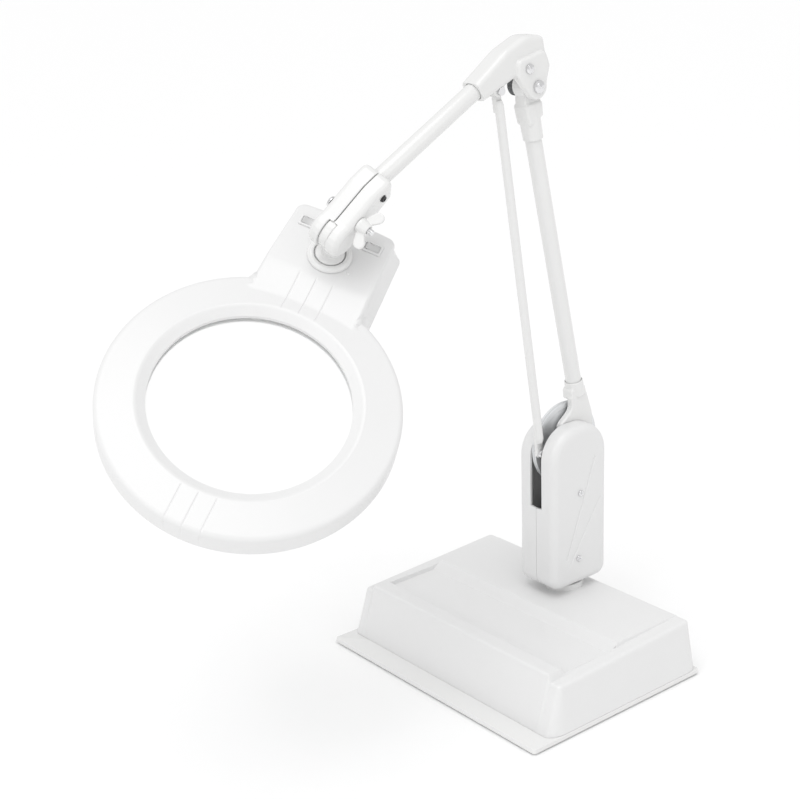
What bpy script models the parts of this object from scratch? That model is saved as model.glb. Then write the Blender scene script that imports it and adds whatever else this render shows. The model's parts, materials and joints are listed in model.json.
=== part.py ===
"""Desk magnifying lamp: weighted base, spring turret, parallel-link arm, wrist clamp and ring-light head.

World frame: metres, +Z up, +X along the base's long side. The origin is the centre of the base's
underside, and the arm reaches towards -Y. Every moving piece hangs from an empty whose origin lies
on its joint axis, so the arm's pose is a chain of the angles named below.
"""
import math

import bmesh
import bpy
from mathutils import Matrix, Vector

MM = 0.001
GAP = 0.3 * MM              # clearance between pieces that rest on or in each other
RUN = 0.35 * MM             # radial clearance of a shaft in its bore

# --- arm pose -------------------------------------------------------------------------------
LEAN = math.radians(8.01)           # lower arm's pivot line, forward of vertical
RISE = math.radians(29.06)          # upper arm's slope, from the elbow down to the wrist
WRIST_ROLL = math.radians(36.4)     # clamp about the upper tube
HEAD_TILT = math.radians(-7.5)      # stem about the clamp's knuckle
HEAD_SWIVEL = math.radians(18.5)    # head about its stem

# --- base -----------------------------------------------------------------------------------
PLATE_WIDTH = 304.8 * MM
PLATE_DEPTH = 228.6 * MM
PLATE_CORNER = 3.0 * MM
PLATE_THICK = 4.7 * MM
PAD_THICK = 1.5 * MM
PAD_INSET = 3.0 * MM
COVER_LIP = 22.6 * MM               # plate that stays bare in front of the cover
COVER_INSET = 0.5 * MM
COVER_WALL = 2.5 * MM
COVER_FRONT_HEIGHT = 48.0 * MM
COVER_BACK_HEIGHT = 55.0 * MM
COVER_SIDE_DRAFT = 5.1 * MM
COVER_FRONT_DRAFT = 15.2 * MM
COVER_BACK_DRAFT = 9.0 * MM
COVER_EDGE = 3.5 * MM
TRAY_FLOOR = 53.2 * MM
TRAY_FRONT_RIM = 20.0 * MM
TRAY_SIDE_RIM = 15.0 * MM
TRAY_BACK = 7.0 * MM                # foot of the slope that rises to the platform
TRAY_DRAFT = 2.0 * MM
PLATFORM_TOP = 61.8 * MM
PLATFORM_SLOPE = 10.0 * MM
PLATFORM_SIDE_RIM = 15.5 * MM
PLATFORM_BACK_RIM = 4.0 * MM
WEIGHT_WIDTH = 268.0 * MM
WEIGHT_DEPTH = 114.0 * MM
WEIGHT_THICK = 24.0 * MM
WEIGHT_CORNER = 10.0 * MM
GLAND_X = -95.0 * MM
GLAND_Z = 28.0 * MM
GLAND_RADIUS = 6.0 * MM
GLAND_BORE = 3.4 * MM

# --- post and turret ------------------------------------------------------------------------
POST_Y = 73.5 * MM
POST_RADIUS = 21.0 * MM
POST_FLANGE = 31.0 * MM
POST_FLANGE_THICK = 6.0 * MM
POST_TOP = 68.0 * MM
SPINDLE_RADIUS = 10.0 * MM
SPINDLE_FOOT = 16.0 * MM
WASHER_THICK = 1.2 * MM
HOUSING_HALF = 26.0 * MM
HOUSING_FRONT = 38.0 * MM
HOUSING_BACK = 38.5 * MM
HOUSING_TOP = 242.5 * MM
HOUSING_WALL = 2.5 * MM
HOUSING_CROWN = 33.0 * MM           # radius of the arched top
HOUSING_HEEL = 13.0 * MM
HOUSING_EDGE = 8.0 * MM
HOUSING_SEAM = 0.4 * MM
SLOT_HALF = 8.0 * MM
SLOT_FRONT_FOOT = 158.0 * MM
SLOT_BACK_FOOT = 181.0 * MM
FOOT_DEPTH = 34.0 * MM
FOOT_THICK = 17.0 * MM
FRAME_THICK = 2.0 * MM
FRAME_CLEAR = 6.7 * MM             # frame plate to the cover's face
FRAME_INNER = HOUSING_HALF - FRAME_CLEAR - FRAME_THICK
FOOT_CLEAR = 0.6 * MM
FOOT_WIDTH = 2 * (FRAME_INNER - FOOT_CLEAR)
SCREW_RADIUS = 1.75 * MM
SCREW_HEAD = 3.3 * MM
SCREW_PLACES = ((-0.8 * MM, 171.3 * MM), (-3.0 * MM, 99.5 * MM))

# --- lower arm ------------------------------------------------------------------------------
SHOULDER_Y = 6.5 * MM               # behind the post's axis
SHOULDER_Z = 217.0 * MM
ARM_LENGTH = 371.6 * MM             # pivot to pivot
CRANK_ARM = 40.0 * MM
CRANK_RADIUS = 43.0 * MM
PIN_RADIUS = 5.0 * MM
TAIL_ARM = 19.0 * MM                # spring hook behind the shoulder pivot
TAIL_PIN_RADIUS = 3.0 * MM
SPRING_WIRE = 0.6 * MM
SPRING_GAP = 0.65 * MM              # coil to the disc on one side and to the frame on the other
SPRING_TURNS = 11
ANCHOR_Z = 96.0 * MM
LOWER_TUBE_RADIUS = 7.95 * MM
LOWER_TUBE_FOOT_Y = 22.1 * MM       # tube axis behind the pivot line at the shoulder
LOWER_TUBE_HEAD_Y = -3.2 * MM       # and in front of it at the elbow
TUBE_WALL = 1.2 * MM
FITTING_HALF = 7.0 * MM
FITTING_INNER = 0.2 * MM
SOCKET_WALL = 1.4 * MM
FITTING_TOP = 64.0 * MM
FITTING_DEPTH = 17.0 * MM
YOKE_REACH = 50.6 * MM              # yoke's foot below the elbow pivot
YOKE_FOOT = ARM_LENGTH - YOKE_REACH
YOKE_DEPTH = 26.0 * MM
EYE_RADIUS = 12.5 * MM
EYE_HALF = 7.0 * MM
YOKE_HALF = 9.4 * MM
ELBOW_BOLT_RADIUS = 4.0 * MM
FRICTION_WASHER = 11.0 * MM
FRICTION_WASHER_THICK = 3.8 * MM

# --- link rod -------------------------------------------------------------------------------
ROD_RADIUS = 4.4 * MM
ROD_X = 3.1 * MM
ROD_EYE_RADIUS = 5.2 * MM
ROD_EYE_THICK = 4.2 * MM
ROD_BOLT_RADIUS = 2.5 * MM
DISC_INNER_X = -1.6 * MM
DISC_OUTER_X = -6.8 * MM
SPRING_RADIUS = (FRAME_INNER + DISC_OUTER_X) / 2 - SPRING_GAP - SPRING_WIRE
SPRING_X = (FRAME_INNER - DISC_OUTER_X) / 2

# --- upper arm ------------------------------------------------------------------------------
UPPER_TUBE_RADIUS = 8.45 * MM
UPPER_TUBE_Z = 33.95 * MM           # tube axis above the elbow pivot
BRACKET_MOUTH = 57.5 * MM
BRACKET_HALF = 11.5 * MM
CHEEK_INNER = 7.4 * MM
CHEEK_OUTER = 15.2 * MM
WRIST_REACH = 183.8 * MM            # elbow to the clamp's mouth
UPPER_TUBE_INTO_CLAMP = 20.0 * MM

# --- clamp and stem -------------------------------------------------------------------------
CLAMP_HALF = 16.0 * MM
CLAMP_SEAM = 1.0 * MM
CLAMP_MOUTH_HALF = 12.2 * MM
CLAMP_SHOULDER = 22.0 * MM          # where the top edge starts to fall towards the nose
CLAMP_SHOULDER_HALF = 10.8 * MM
KNUCKLE_REACH = 60.0 * MM
KNUCKLE_DROP = 18.8 * MM
NOSE_RADIUS = 17.5 * MM
TONGUE_RADIUS = 15.7 * MM
TONGUE_HALF = 4.5 * MM
CLAMP_BOLT_REACH = 44.0 * MM
CLAMP_BOLT_DROP = 6.0 * MM          # bolt's axis below the tube's
CLAMP_BOLT_RADIUS = 3.0 * MM
SET_SCREW_REACH = 14.0 * MM
STEM_DROP = 40.5 * MM               # knuckle to the head's reference plane
STEM_RADIUS = 6.8 * MM
STEM_NECK_RADIUS = 7.6 * MM
STEM_FLANGE = 13.4 * MM
WING_SPAN = 14.0 * MM
WING_TURN = math.radians(113.0)

# --- head -----------------------------------------------------------------------------------
RING_CENTRE = 165.2 * MM            # lens centre in front of the stem
RING_RADIUS = 130.0 * MM
RING_DEPTH = 24.0 * MM
RING_EDGE = 5.0 * MM
RING_CROWN = 4.0 * MM               # the ring's top rises this much towards the lens
FUNNEL_RADIUS = 96.0 * MM
OPENING_RADIUS = 87.0 * MM
SHELL_WALL = 2.4 * MM
NECK_WALL = 3.0 * MM
LENS_RADIUS = 89.5 * MM
LENS_EDGE = 4.0 * MM
LENS_BULGE = 6.0 * MM
LENS_SEAT = -4.5 * MM
LENS_DROP = 0.8 * MM                # the dome clears the seat's inner edge
LENS_WALL_INNER = 95.8 * MM
LENS_WALL_OUTER = 98.2 * MM
LENS_WALL_FOOT = -13.5 * MM
NECK_FRONT = -54.0 * MM
NECK_RAMP_BACK = -28.0 * MM
NECK_BACK = 42.0 * MM
NECK_TOP = 7.0 * MM
NECK_HALF_FRONT = 50.0 * MM
NECK_HALF_BACK = 46.0 * MM
NECK_FLARE = 8.5 * MM
NECK_CORNER = 9.0 * MM
LAMP_RING_RADIUS = 112.0 * MM
LAMP_TUBE_RADIUS = 8.0 * MM
LAMP_TUBE_Z = -14.0 * MM
LAMP_GAP = math.radians(13.0)
REFLECTOR_FACE = -5.2 * MM
COLLAR_RADIUS = 20.5 * MM
SWITCH_X = 31.0 * MM
SWITCH_Y = 25.0 * MM
SWITCH_LENGTH = 18.0 * MM
SWITCH_WIDTH = 12.0 * MM
SWITCH_DEPTH = 12.0 * MM
ROCKER_TILT = math.radians(7.0)

TURN_TO_X = Matrix.Rotation(math.radians(90), 4, "Y")
TURN_TO_Y = Matrix.Rotation(math.radians(-90), 4, "X")
OUTLINE_TO_X = Matrix(((0, 0, 1, 0), (1, 0, 0, 0), (0, 1, 0, 0), (0, 0, 0, 1)))
OUTLINE_TO_Y = Matrix(((1, 0, 0, 0), (0, 0, -1, 0), (0, 1, 0, 0), (0, 0, 0, 1)))


# --- helpers --------------------------------------------------------------------------------
def clear_scene():
    """Remove whatever objects the file starts with."""
    for thing in list(bpy.data.objects):
        bpy.data.objects.remove(thing, do_unlink=True)


def finish(name, colour, roughness, metallic=0.0):
    """A Principled material."""
    look = bpy.data.materials.new(name)
    look.use_nodes = True
    shader = look.node_tree.nodes["Principled BSDF"]
    shader.inputs["Base Color"].default_value = (*colour, 1.0)
    shader.inputs["Roughness"].default_value = roughness
    shader.inputs["Metallic"].default_value = metallic
    return look


def joint_frame(name, parent, place, turn=(0.0, 0.0, 0.0)):
    """An empty on a joint's axis, from which the moving pieces hang."""
    empty = bpy.data.objects.new(name, None)
    bpy.context.scene.collection.objects.link(empty)
    empty.parent = parent
    empty.location = place
    empty.rotation_euler = turn
    return empty


def circle_steps(radius):
    """How many sides a round of this radius is drawn with."""
    if radius < 3.2 * MM:
        return 12
    if radius < 9.0 * MM:
        return 16
    if radius < 24.0 * MM:
        return 24
    return 36 if radius < 60.0 * MM else 60


def arc(centre, radius, start, end, steps):
    """Points on an arc, angles in degrees, both ends included."""
    points = []
    for step in range(steps + 1):
        angle = math.radians(start + (end - start) * step / steps)
        points.append((centre[0] + radius * math.cos(angle), centre[1] + radius * math.sin(angle)))
    return points


def rounded(corners, steps=4):
    """A closed outline whose corners (u, v, radius) are filleted by arcs."""
    outline = []
    count = len(corners)
    for index, (u, v, radius) in enumerate(corners):
        if radius <= 0:
            outline.append((u, v))
            continue
        here = Vector((u, v))
        back = (Vector(corners[index - 1][:2]) - here).normalized()
        ahead = (Vector(corners[(index + 1) % count][:2]) - here).normalized()
        half = back.angle(ahead) / 2
        centre = here + (back + ahead).normalized() * radius / math.sin(half)
        first = here + back * radius / math.tan(half) - centre
        last = here + ahead * radius / math.tan(half) - centre
        sweep = first.angle_signed(last)
        for step in range(steps + 1):
            spun = first.copy()
            spun.rotate(Matrix.Rotation(-sweep * step / steps, 2))
            outline.append(tuple(centre + spun))
    return outline


def rectangle(half_u, half_v, radius=0.0, centre=(0.0, 0.0), steps=3):
    """A rectangle's outline, counter-clockwise, with round corners."""
    signs = ((-1, -1), (1, -1), (1, 1), (-1, 1))
    return rounded([(centre[0] + a * half_u, centre[1] + b * half_v, radius) for a, b in signs], steps)


def tidy(mesh):
    """Weld coincident points and point the faces outwards."""
    bmesh.ops.remove_doubles(mesh, verts=mesh.verts, dist=1e-7)
    bmesh.ops.recalc_face_normals(mesh, faces=mesh.faces)
    return mesh


def loft(rings):
    """A closed solid through rings of points that all have the same count."""
    mesh = bmesh.new()
    loops = [[mesh.verts.new(point) for point in ring] for ring in rings]
    mesh.faces.new(list(reversed(loops[0])))
    mesh.faces.new(loops[-1])
    count = len(loops[0])
    for low, high in zip(loops, loops[1:]):
        for index in range(count):
            after = (index + 1) % count
            mesh.faces.new((low[index], low[after], high[after], high[index]))
    return tidy(mesh)


def prism(outline, low, high, edge_low=0.0, edge_high=0.0, steps=2, turn=None):
    """Extrude an outline from low to high, rounding the rim of either end."""
    mesh = loft([[(u, v, level) for u, v in outline] for level in (low, high)])
    for level, width in ((low, edge_low), (high, edge_high)):
        if width > 0:
            rim = [e for e in mesh.edges if all(abs(v.co.z - level) < 1e-7 for v in e.verts)]
            bmesh.ops.bevel(mesh, geom=rim, offset=width, segments=steps, profile=0.5, affect="EDGES")
    if turn:
        mesh.transform(turn)
    return tidy(mesh)


def turned(profile, steps=None, ring=False, turn=None, place=(0.0, 0.0, 0.0)):
    """Revolve (radius, height) points about Z: a solid, or a ring when the profile is a loop."""
    steps = steps or circle_steps(max(radius for radius, _ in profile))
    mesh = bmesh.new()
    loops = []
    for radius, height in profile:
        if radius < 1e-9:
            loops.append([mesh.verts.new((0.0, 0.0, height))])
            continue
        angles = [2 * math.pi * step / steps for step in range(steps)]
        loops.append([mesh.verts.new((radius * math.cos(a), radius * math.sin(a), height)) for a in angles])
    pairs = list(zip(loops, loops[1:]))
    if ring:
        pairs.append((loops[-1], loops[0]))
    elif len(loops[0]) > 1:
        mesh.faces.new(list(reversed(loops[0])))
        mesh.faces.new(loops[-1])
    for low, high in pairs:
        for index in range(steps):
            after = (index + 1) % steps
            corners = [low[index % len(low)], low[after % len(low)]]
            corners += [high[after % len(high)], high[index % len(high)]]
            unique = list(dict.fromkeys(corners))
            if len(unique) > 2:
                mesh.faces.new(unique)
    if turn:
        mesh.transform(turn)
    mesh.transform(Matrix.Translation(place))
    return tidy(mesh)


def nut_shape(bore, corner, low, high, turn=None, place=(0.0, 0.0, 0.0)):
    """A hexagon nut with a round bore."""
    mesh = turned([(bore, low), (corner, low), (corner, high), (bore, high)], 12, ring=True)
    for vertex in mesh.verts:
        radius = math.hypot(vertex.co.x, vertex.co.y)
        sector = round(math.degrees(math.atan2(vertex.co.y, vertex.co.x)) / 30)
        if radius > corner - 1e-6 and sector % 2:
            vertex.co.xy *= math.cos(math.radians(30))
    if turn:
        mesh.transform(turn)
    mesh.transform(Matrix.Translation(place))
    return tidy(mesh)


def rod_shape(radius, low, high, turn=None, place=(0.0, 0.0, 0.0), steps=None):
    """A plain round bar from low to high."""
    return turned([(radius, low), (radius, high)], steps, turn=turn, place=place)


def block(low, high, edge=0.0, steps=1):
    """An upright box between two corners, its edges chamfered."""
    mesh = prism([(low[0], low[1]), (high[0], low[1]), (high[0], high[1]), (low[0], high[1])], low[2], high[2])
    if edge > 0:
        bmesh.ops.bevel(mesh, geom=list(mesh.edges), offset=edge, segments=steps, profile=0.5, affect="EDGES")
    return tidy(mesh)


def swept(points, radius, sides):
    """A round wire along a path, its section carried along without twist."""
    path = [Vector(point) for point in points]
    tangents = []
    for index in range(len(path)):
        ahead = path[min(index + 1, len(path) - 1)]
        behind = path[max(index - 1, 0)]
        tangents.append((ahead - behind).normalized())
    normal = tangents[0].orthogonal().normalized()
    rings = []
    for index, (place, tangent) in enumerate(zip(path, tangents)):
        if index:
            normal.rotate(tangents[index - 1].rotation_difference(tangent))
        side = tangent.cross(normal)
        angles = [2 * math.pi * step / sides for step in range(sides)]
        rings.append([place + (normal * math.cos(a) + side * math.sin(a)) * radius for a in angles])
    return loft(rings)


def put(name, mesh, frame=None, look=None):
    """Make an object of a mesh and hang it from its frame. Without a look it is a hidden cutter."""
    data = bpy.data.meshes.new(name)
    mesh.to_mesh(data)
    mesh.free()
    thing = bpy.data.objects.new(name, data)
    bpy.context.scene.collection.objects.link(thing)
    thing.parent = frame
    if look:
        data.materials.append(look)
        data.shade_smooth()
        data.set_sharp_from_angle(angle=math.radians(32))
    else:
        thing.hide_render = True
        thing.display_type = "WIRE"
    return thing


def use(target, operation, tool):
    """Apply a ready hidden shape with an exact Boolean."""
    step = target.modifiers.new(tool.name, "BOOLEAN")
    step.operation = operation
    step.solver = "EXACT"
    step.object = tool


def shape(target, operation, mesh, frame=None):
    """Add or cut a hidden shape with an exact Boolean."""
    tool = put(f"{target.name}_tool_{len(target.modifiers)}", mesh, frame)
    use(target, operation, tool)
    return target


def cut(target, mesh, frame=None):
    """Cut a shape out of the target."""
    return shape(target, "DIFFERENCE", mesh, frame)


def join(target, mesh, frame=None):
    """Join a shape to the target."""
    return shape(target, "UNION", mesh, frame)


# --- base -----------------------------------------------------------------------------------
PLATE_FOOT = PAD_THICK + GAP
PLATE_TOP = PLATE_FOOT + PLATE_THICK
COVER_FOOT = PLATE_TOP + GAP
COVER_INNER = COVER_WALL + 2.0 * MM     # wall with the draft that thickens it


def cover_corners(front_z, back_z, shrink=0.0):
    """Corners of the cover's drafted box where a plane crosses it, drawn in by a wall."""
    front_share = (front_z - PLATE_TOP) / COVER_FRONT_HEIGHT
    back_share = (back_z - PLATE_TOP) / COVER_BACK_HEIGHT
    half = PLATE_WIDTH / 2 - COVER_INSET - COVER_SIDE_DRAFT * (front_share + back_share) / 2 - shrink
    front = -PLATE_DEPTH / 2 + COVER_LIP + COVER_FRONT_DRAFT * front_share + shrink
    back = PLATE_DEPTH / 2 - COVER_INSET - COVER_BACK_DRAFT * back_share - shrink
    return [(-half, front, front_z), (half, front, front_z), (half, back, back_z), (-half, back, back_z)]


def cover_box():
    """The cover's outer form, its upper edges rounded."""
    mesh = loft([cover_corners(COVER_FOOT, COVER_FOOT),
                 cover_corners(PLATE_TOP + COVER_FRONT_HEIGHT, PLATE_TOP + COVER_BACK_HEIGHT)])
    rims = [e for e in mesh.edges if max(v.co.z for v in e.verts) > COVER_FOOT + MM]
    bmesh.ops.bevel(mesh, geom=rims, offset=COVER_EDGE, segments=3, profile=0.5, affect="EDGES")
    return tidy(mesh)


def cover_hollow(foot, roof):
    """The space under the cover, with a level roof."""
    return loft([cover_corners(level, level, COVER_INNER) for level in (foot, roof)])


def step_block(front, back, half, low, high, spread, back_spread=None):
    """A drafted block whose sides widen by spread from low to high; negative narrows it."""
    far = spread if back_spread is None else back_spread
    rings = []
    for level, grow, grow_back in ((low, 0.0, 0.0), (high, spread, far)):
        rings.append([(-half - grow, front - grow, level), (half + grow, front - grow, level),
                      (half + grow, back + grow_back, level), (-half - grow, back + grow_back, level)])
    return loft(rings)


def build_base(looks):
    """Pad, plate, iron weight, moulded cover, fixed post, its thrust washer and the cord gland."""
    pad = rectangle(PLATE_WIDTH / 2 - PAD_INSET, PLATE_DEPTH / 2 - PAD_INSET, PLATE_CORNER)
    put("base_pad", prism(pad, 0.0, PAD_THICK), look=looks["rubber"])
    plate = rectangle(PLATE_WIDTH / 2, PLATE_DEPTH / 2, PLATE_CORNER)
    put("base_plate", prism(plate, PLATE_FOOT, PLATE_TOP, edge_high=0.8 * MM), look=looks["enamel"])
    slab_share = (WEIGHT_THICK + 2 * GAP) / COVER_FRONT_HEIGHT
    slab_front = -PLATE_DEPTH / 2 + COVER_LIP + COVER_FRONT_DRAFT * slab_share + COVER_INNER + 1 * MM
    slab_middle = slab_front + WEIGHT_DEPTH / 2
    slab = rectangle(WEIGHT_WIDTH / 2, WEIGHT_DEPTH / 2, WEIGHT_CORNER, (0.0, slab_middle))
    slab_foot = PLATE_TOP + GAP
    put("base_weight", prism(slab, slab_foot, slab_foot + WEIGHT_THICK, edge_high=2 * MM), look=looks["iron"])
    build_cover(looks)
    collar = [(POST_FLANGE, COVER_FOOT), (POST_FLANGE, COVER_FOOT + POST_FLANGE_THICK),
              (POST_RADIUS, COVER_FOOT + POST_FLANGE_THICK), (POST_RADIUS, POST_TOP - 0.8 * MM),
              (POST_RADIUS - 0.8 * MM, POST_TOP), (SPINDLE_RADIUS + RUN, POST_TOP),
              (SPINDLE_RADIUS + RUN, COVER_FOOT)]
    put("post_collar", turned(collar, ring=True, place=(0, POST_Y, 0)), look=looks["enamel"])
    washer = [(POST_RADIUS - 2 * MM, POST_TOP + GAP), (POST_RADIUS - 2 * MM, POST_TOP + GAP + WASHER_THICK),
              (SPINDLE_RADIUS + RUN, POST_TOP + GAP + WASHER_THICK), (SPINDLE_RADIUS + RUN, POST_TOP + GAP)]
    put("thrust_washer", turned(washer, ring=True, place=(0, POST_Y, 0)), look=looks["nylon"])


def build_cover(looks):
    """The cover: a drafted shell with a pen tray in front and a raised platform behind."""
    cover = put("base_cover", cover_box(), look=looks["plastic"])
    top_front = -PLATE_DEPTH / 2 + COVER_LIP + COVER_FRONT_DRAFT
    top_back = PLATE_DEPTH / 2 - COVER_INSET - COVER_BACK_DRAFT
    top_half = PLATE_WIDTH / 2 - COVER_INSET - COVER_SIDE_DRAFT
    platform_front = TRAY_BACK + PLATFORM_SLOPE
    sunk = TRAY_FLOOR - 1 * MM
    slope = (platform_front - TRAY_BACK) / (PLATFORM_TOP - TRAY_FLOOR)
    rise = PLATFORM_TOP - sunk
    back = top_back - PLATFORM_BACK_RIM
    join(cover, step_block(TRAY_BACK - 4 * MM, back, top_half - PLATFORM_SIDE_RIM + rise / 3, sunk, PLATFORM_TOP,
                           -rise / 3, 0.0))
    tray_front = top_front + TRAY_FRONT_RIM
    tray_rise = 12 * MM
    tray = step_block(tray_front, TRAY_BACK, top_half - TRAY_SIDE_RIM, TRAY_FLOOR, TRAY_FLOOR + tray_rise,
                      TRAY_DRAFT, slope * tray_rise)
    cut(cover, tray)
    cut(cover, cover_hollow(COVER_FOOT - 1 * MM, TRAY_FLOOR - COVER_WALL))
    cut(cover, block((COVER_INNER + PLATFORM_SIDE_RIM - top_half, TRAY_BACK + 2 * PLATFORM_SLOPE, 0.04),
                     (top_half - COVER_INNER - PLATFORM_SIDE_RIM, back - COVER_INNER, PLATFORM_TOP - COVER_WALL)))
    cut(cover, rod_shape(POST_RADIUS + RUN, 0.03, 0.08, place=(0, POST_Y, 0)))
    cut(cover, rod_shape(GLAND_RADIUS + RUN, 0.09, 0.13, turn=TURN_TO_Y, place=(GLAND_X, 0, GLAND_Z)))
    wall_share = (GLAND_Z - PLATE_TOP) / COVER_BACK_HEIGHT
    wall_y = PLATE_DEPTH / 2 - COVER_INSET - COVER_BACK_DRAFT * wall_share
    lean = (GLAND_RADIUS + 4 * MM) * COVER_BACK_DRAFT / COVER_BACK_HEIGHT
    outside = wall_y + lean + GAP
    inside = wall_y - COVER_INNER - lean - GAP
    head = GLAND_RADIUS + 2 * MM
    gland = [(head, outside), (head - 0.6 * MM, outside + 2 * MM), (GLAND_BORE, outside + 2 * MM),
             (GLAND_BORE, inside - 7 * MM), (GLAND_RADIUS, inside - 7 * MM), (GLAND_RADIUS, outside)]
    put("cord_gland", turned(gland, 16, ring=True, turn=TURN_TO_Y, place=(GLAND_X, 0, GLAND_Z)),
        look=looks["black"])
    nut = nut_shape(GLAND_RADIUS + RUN, head + 1 * MM, inside - 4.5 * MM, inside, TURN_TO_Y, (GLAND_X, 0, GLAND_Z))
    put("gland_nut", nut, look=looks["black"])


# --- turret ---------------------------------------------------------------------------------
HOUSING_FOOT = POST_TOP + GAP + WASHER_THICK + GAP
FOOT_BASE = HOUSING_FOOT + HOUSING_WALL + GAP


def housing_outline(shrink=0.0):
    """The housing's side view: arched top, rounded heel."""
    front, back = -HOUSING_FRONT + shrink, HOUSING_BACK - shrink
    foot, top = HOUSING_FOOT + shrink, HOUSING_TOP - shrink
    crown, heel = HOUSING_CROWN - shrink, HOUSING_HEEL - shrink
    lower = rounded([(front, foot, heel), (back, foot, heel), (back, top, crown), (front, top, crown)], 6)
    return lower


def housing_half(name, side, looks, turret):
    """One cover half: an open shell with its share of the slot, the foot hole and the screw seats."""
    seam = HOUSING_SEAM / 2
    turn = OUTLINE_TO_X if side > 0 else Matrix.Scale(-1, 4, (1, 0, 0)) @ OUTLINE_TO_X
    outer = prism(housing_outline(), seam, HOUSING_HALF, edge_high=HOUSING_EDGE, steps=3, turn=turn)
    half = put(name, outer, turret, looks["plastic"])
    inner_edge = HOUSING_EDGE - HOUSING_WALL
    cut(half, prism(housing_outline(HOUSING_WALL), -5 * MM, HOUSING_HALF - HOUSING_WALL,
                    edge_high=inner_edge, steps=3, turn=turn), turret)
    wide = SLOT_HALF
    cut(half, block((-wide, -0.08, SLOT_FRONT_FOOT), (wide, 0.0, 0.3)), turret)
    cut(half, block((-wide, -0.01, SLOT_BACK_FOOT), (wide, 0.08, 0.3)), turret)
    cut(half, rod_shape(SPINDLE_RADIUS + 1.5 * MM, 0.05, 0.09), turret)
    for y, z in SCREW_PLACES:
        if side > 0:
            cut(half, rod_shape(SCREW_RADIUS + RUN, 0.01, 0.04, turn=TURN_TO_X, place=(0, y, z)), turret)
            seat = HOUSING_HALF - 1.3 * MM
            cut(half, rod_shape(SCREW_HEAD + RUN, seat, 0.04, turn=TURN_TO_X, place=(0, y, z)), turret)
            continue
        inner = -(HOUSING_HALF - HOUSING_WALL / 2)
        boss_end = -(FRAME_INNER + FRAME_THICK + GAP)
        join(half, rod_shape(3.6 * MM, inner, boss_end, turn=TURN_TO_X, place=(0, y, z)), turret)
        cut(half, rod_shape(SCREW_RADIUS + RUN, inner + 0.2 * MM, 0.0, turn=TURN_TO_X, place=(0, y, z)), turret)
    return half


def build_turret(looks, turret):
    """Spindle, inner frame, spring anchor, balance springs, two cover halves and their screws."""
    put("turret_spindle", rod_shape(SPINDLE_RADIUS, SPINDLE_FOOT, FOOT_BASE + FOOT_THICK + 3 * MM),
        turret, looks["steel"])
    foot = block((-FOOT_WIDTH / 2, -FOOT_DEPTH / 2, FOOT_BASE),
                 (FOOT_WIDTH / 2, FOOT_DEPTH / 2, FOOT_BASE + FOOT_THICK), 1.0 * MM)
    cut(put("frame_foot", foot, turret, looks["iron"]),
        rod_shape(SPINDLE_RADIUS + RUN, 0.05, 0.12), turret)
    shoulder = (SHOULDER_Y, SHOULDER_Z)
    anchor = (SHOULDER_Y + TAIL_ARM, ANCHOR_Z)
    holes = [(shoulder, PIN_RADIUS), (anchor, TAIL_PIN_RADIUS)]
    holes += [(place, SCREW_RADIUS) for place in SCREW_PLACES]
    crown = 11 * MM
    plate_foot = FOOT_BASE + 1 * MM
    side_view = rounded([(-19 * MM, plate_foot, 4 * MM), (33 * MM, plate_foot, 13 * MM),
                         (33 * MM, ANCHOR_Z + 12 * MM, 8 * MM), (19 * MM, SHOULDER_Z + crown, crown),
                         (-6 * MM, SHOULDER_Z + crown, crown), (-12 * MM, 150 * MM, 20 * MM)], 3)
    for name, side in (("frame_plate_left", -1), ("frame_plate_right", 1)):
        low = min(side * FRAME_INNER, side * (FRAME_INNER + FRAME_THICK))
        plate = put(name, prism(side_view, low, low + FRAME_THICK, turn=OUTLINE_TO_X), turret, looks["steel"])
        for (y, z), radius in holes:
            cut(plate, rod_shape(radius + RUN, -0.03, 0.03, turn=TURN_TO_X, place=(0, y, z)), turret)
    reach = HOUSING_HALF - HOUSING_WALL - 1 * MM
    for name, (y, z), radius in (("shoulder_pin", shoulder, PIN_RADIUS), ("spring_anchor", anchor, TAIL_PIN_RADIUS)):
        profile = [(0.0, -reach), (radius - 0.5 * MM, -reach), (radius, 0.5 * MM - reach),
                   (radius, reach - 0.5 * MM), (radius - 0.5 * MM, reach), (0.0, reach)]
        put(name, turned(profile, turn=TURN_TO_X, place=(0, y, z)), turret, looks["steel"])
    for name, side, lean in (("balance_spring_left", -1, 0.0), ("balance_spring_right", 1, LEAN)):
        upper = (SHOULDER_Y + TAIL_ARM * math.cos(lean), SHOULDER_Z + TAIL_ARM * math.sin(lean))
        put(name, swept(spring_path(side * SPRING_X, anchor, upper), SPRING_WIRE, 4), turret, looks["steel"])
    housing_half("housing_left", -1, looks, turret)
    housing_half("housing_right", 1, looks, turret)
    for name, (y, z) in zip(("housing_screw_upper", "housing_screw_lower"), SCREW_PLACES):
        seat = HOUSING_HALF - 1.3 * MM + GAP
        tip = -(FRAME_INNER + FRAME_THICK + 2.5 * MM)
        profile = [(0.0, tip), (SCREW_RADIUS, tip), (SCREW_RADIUS, seat), (SCREW_HEAD, seat),
                   (SCREW_HEAD, seat + 0.8 * MM), (SCREW_HEAD * 0.7, seat + 1.6 * MM), (0.0, seat + 1.9 * MM)]
        put(name, turned(profile, 12, turn=TURN_TO_X, place=(0, y, z)), turret, looks["chrome"])


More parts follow.
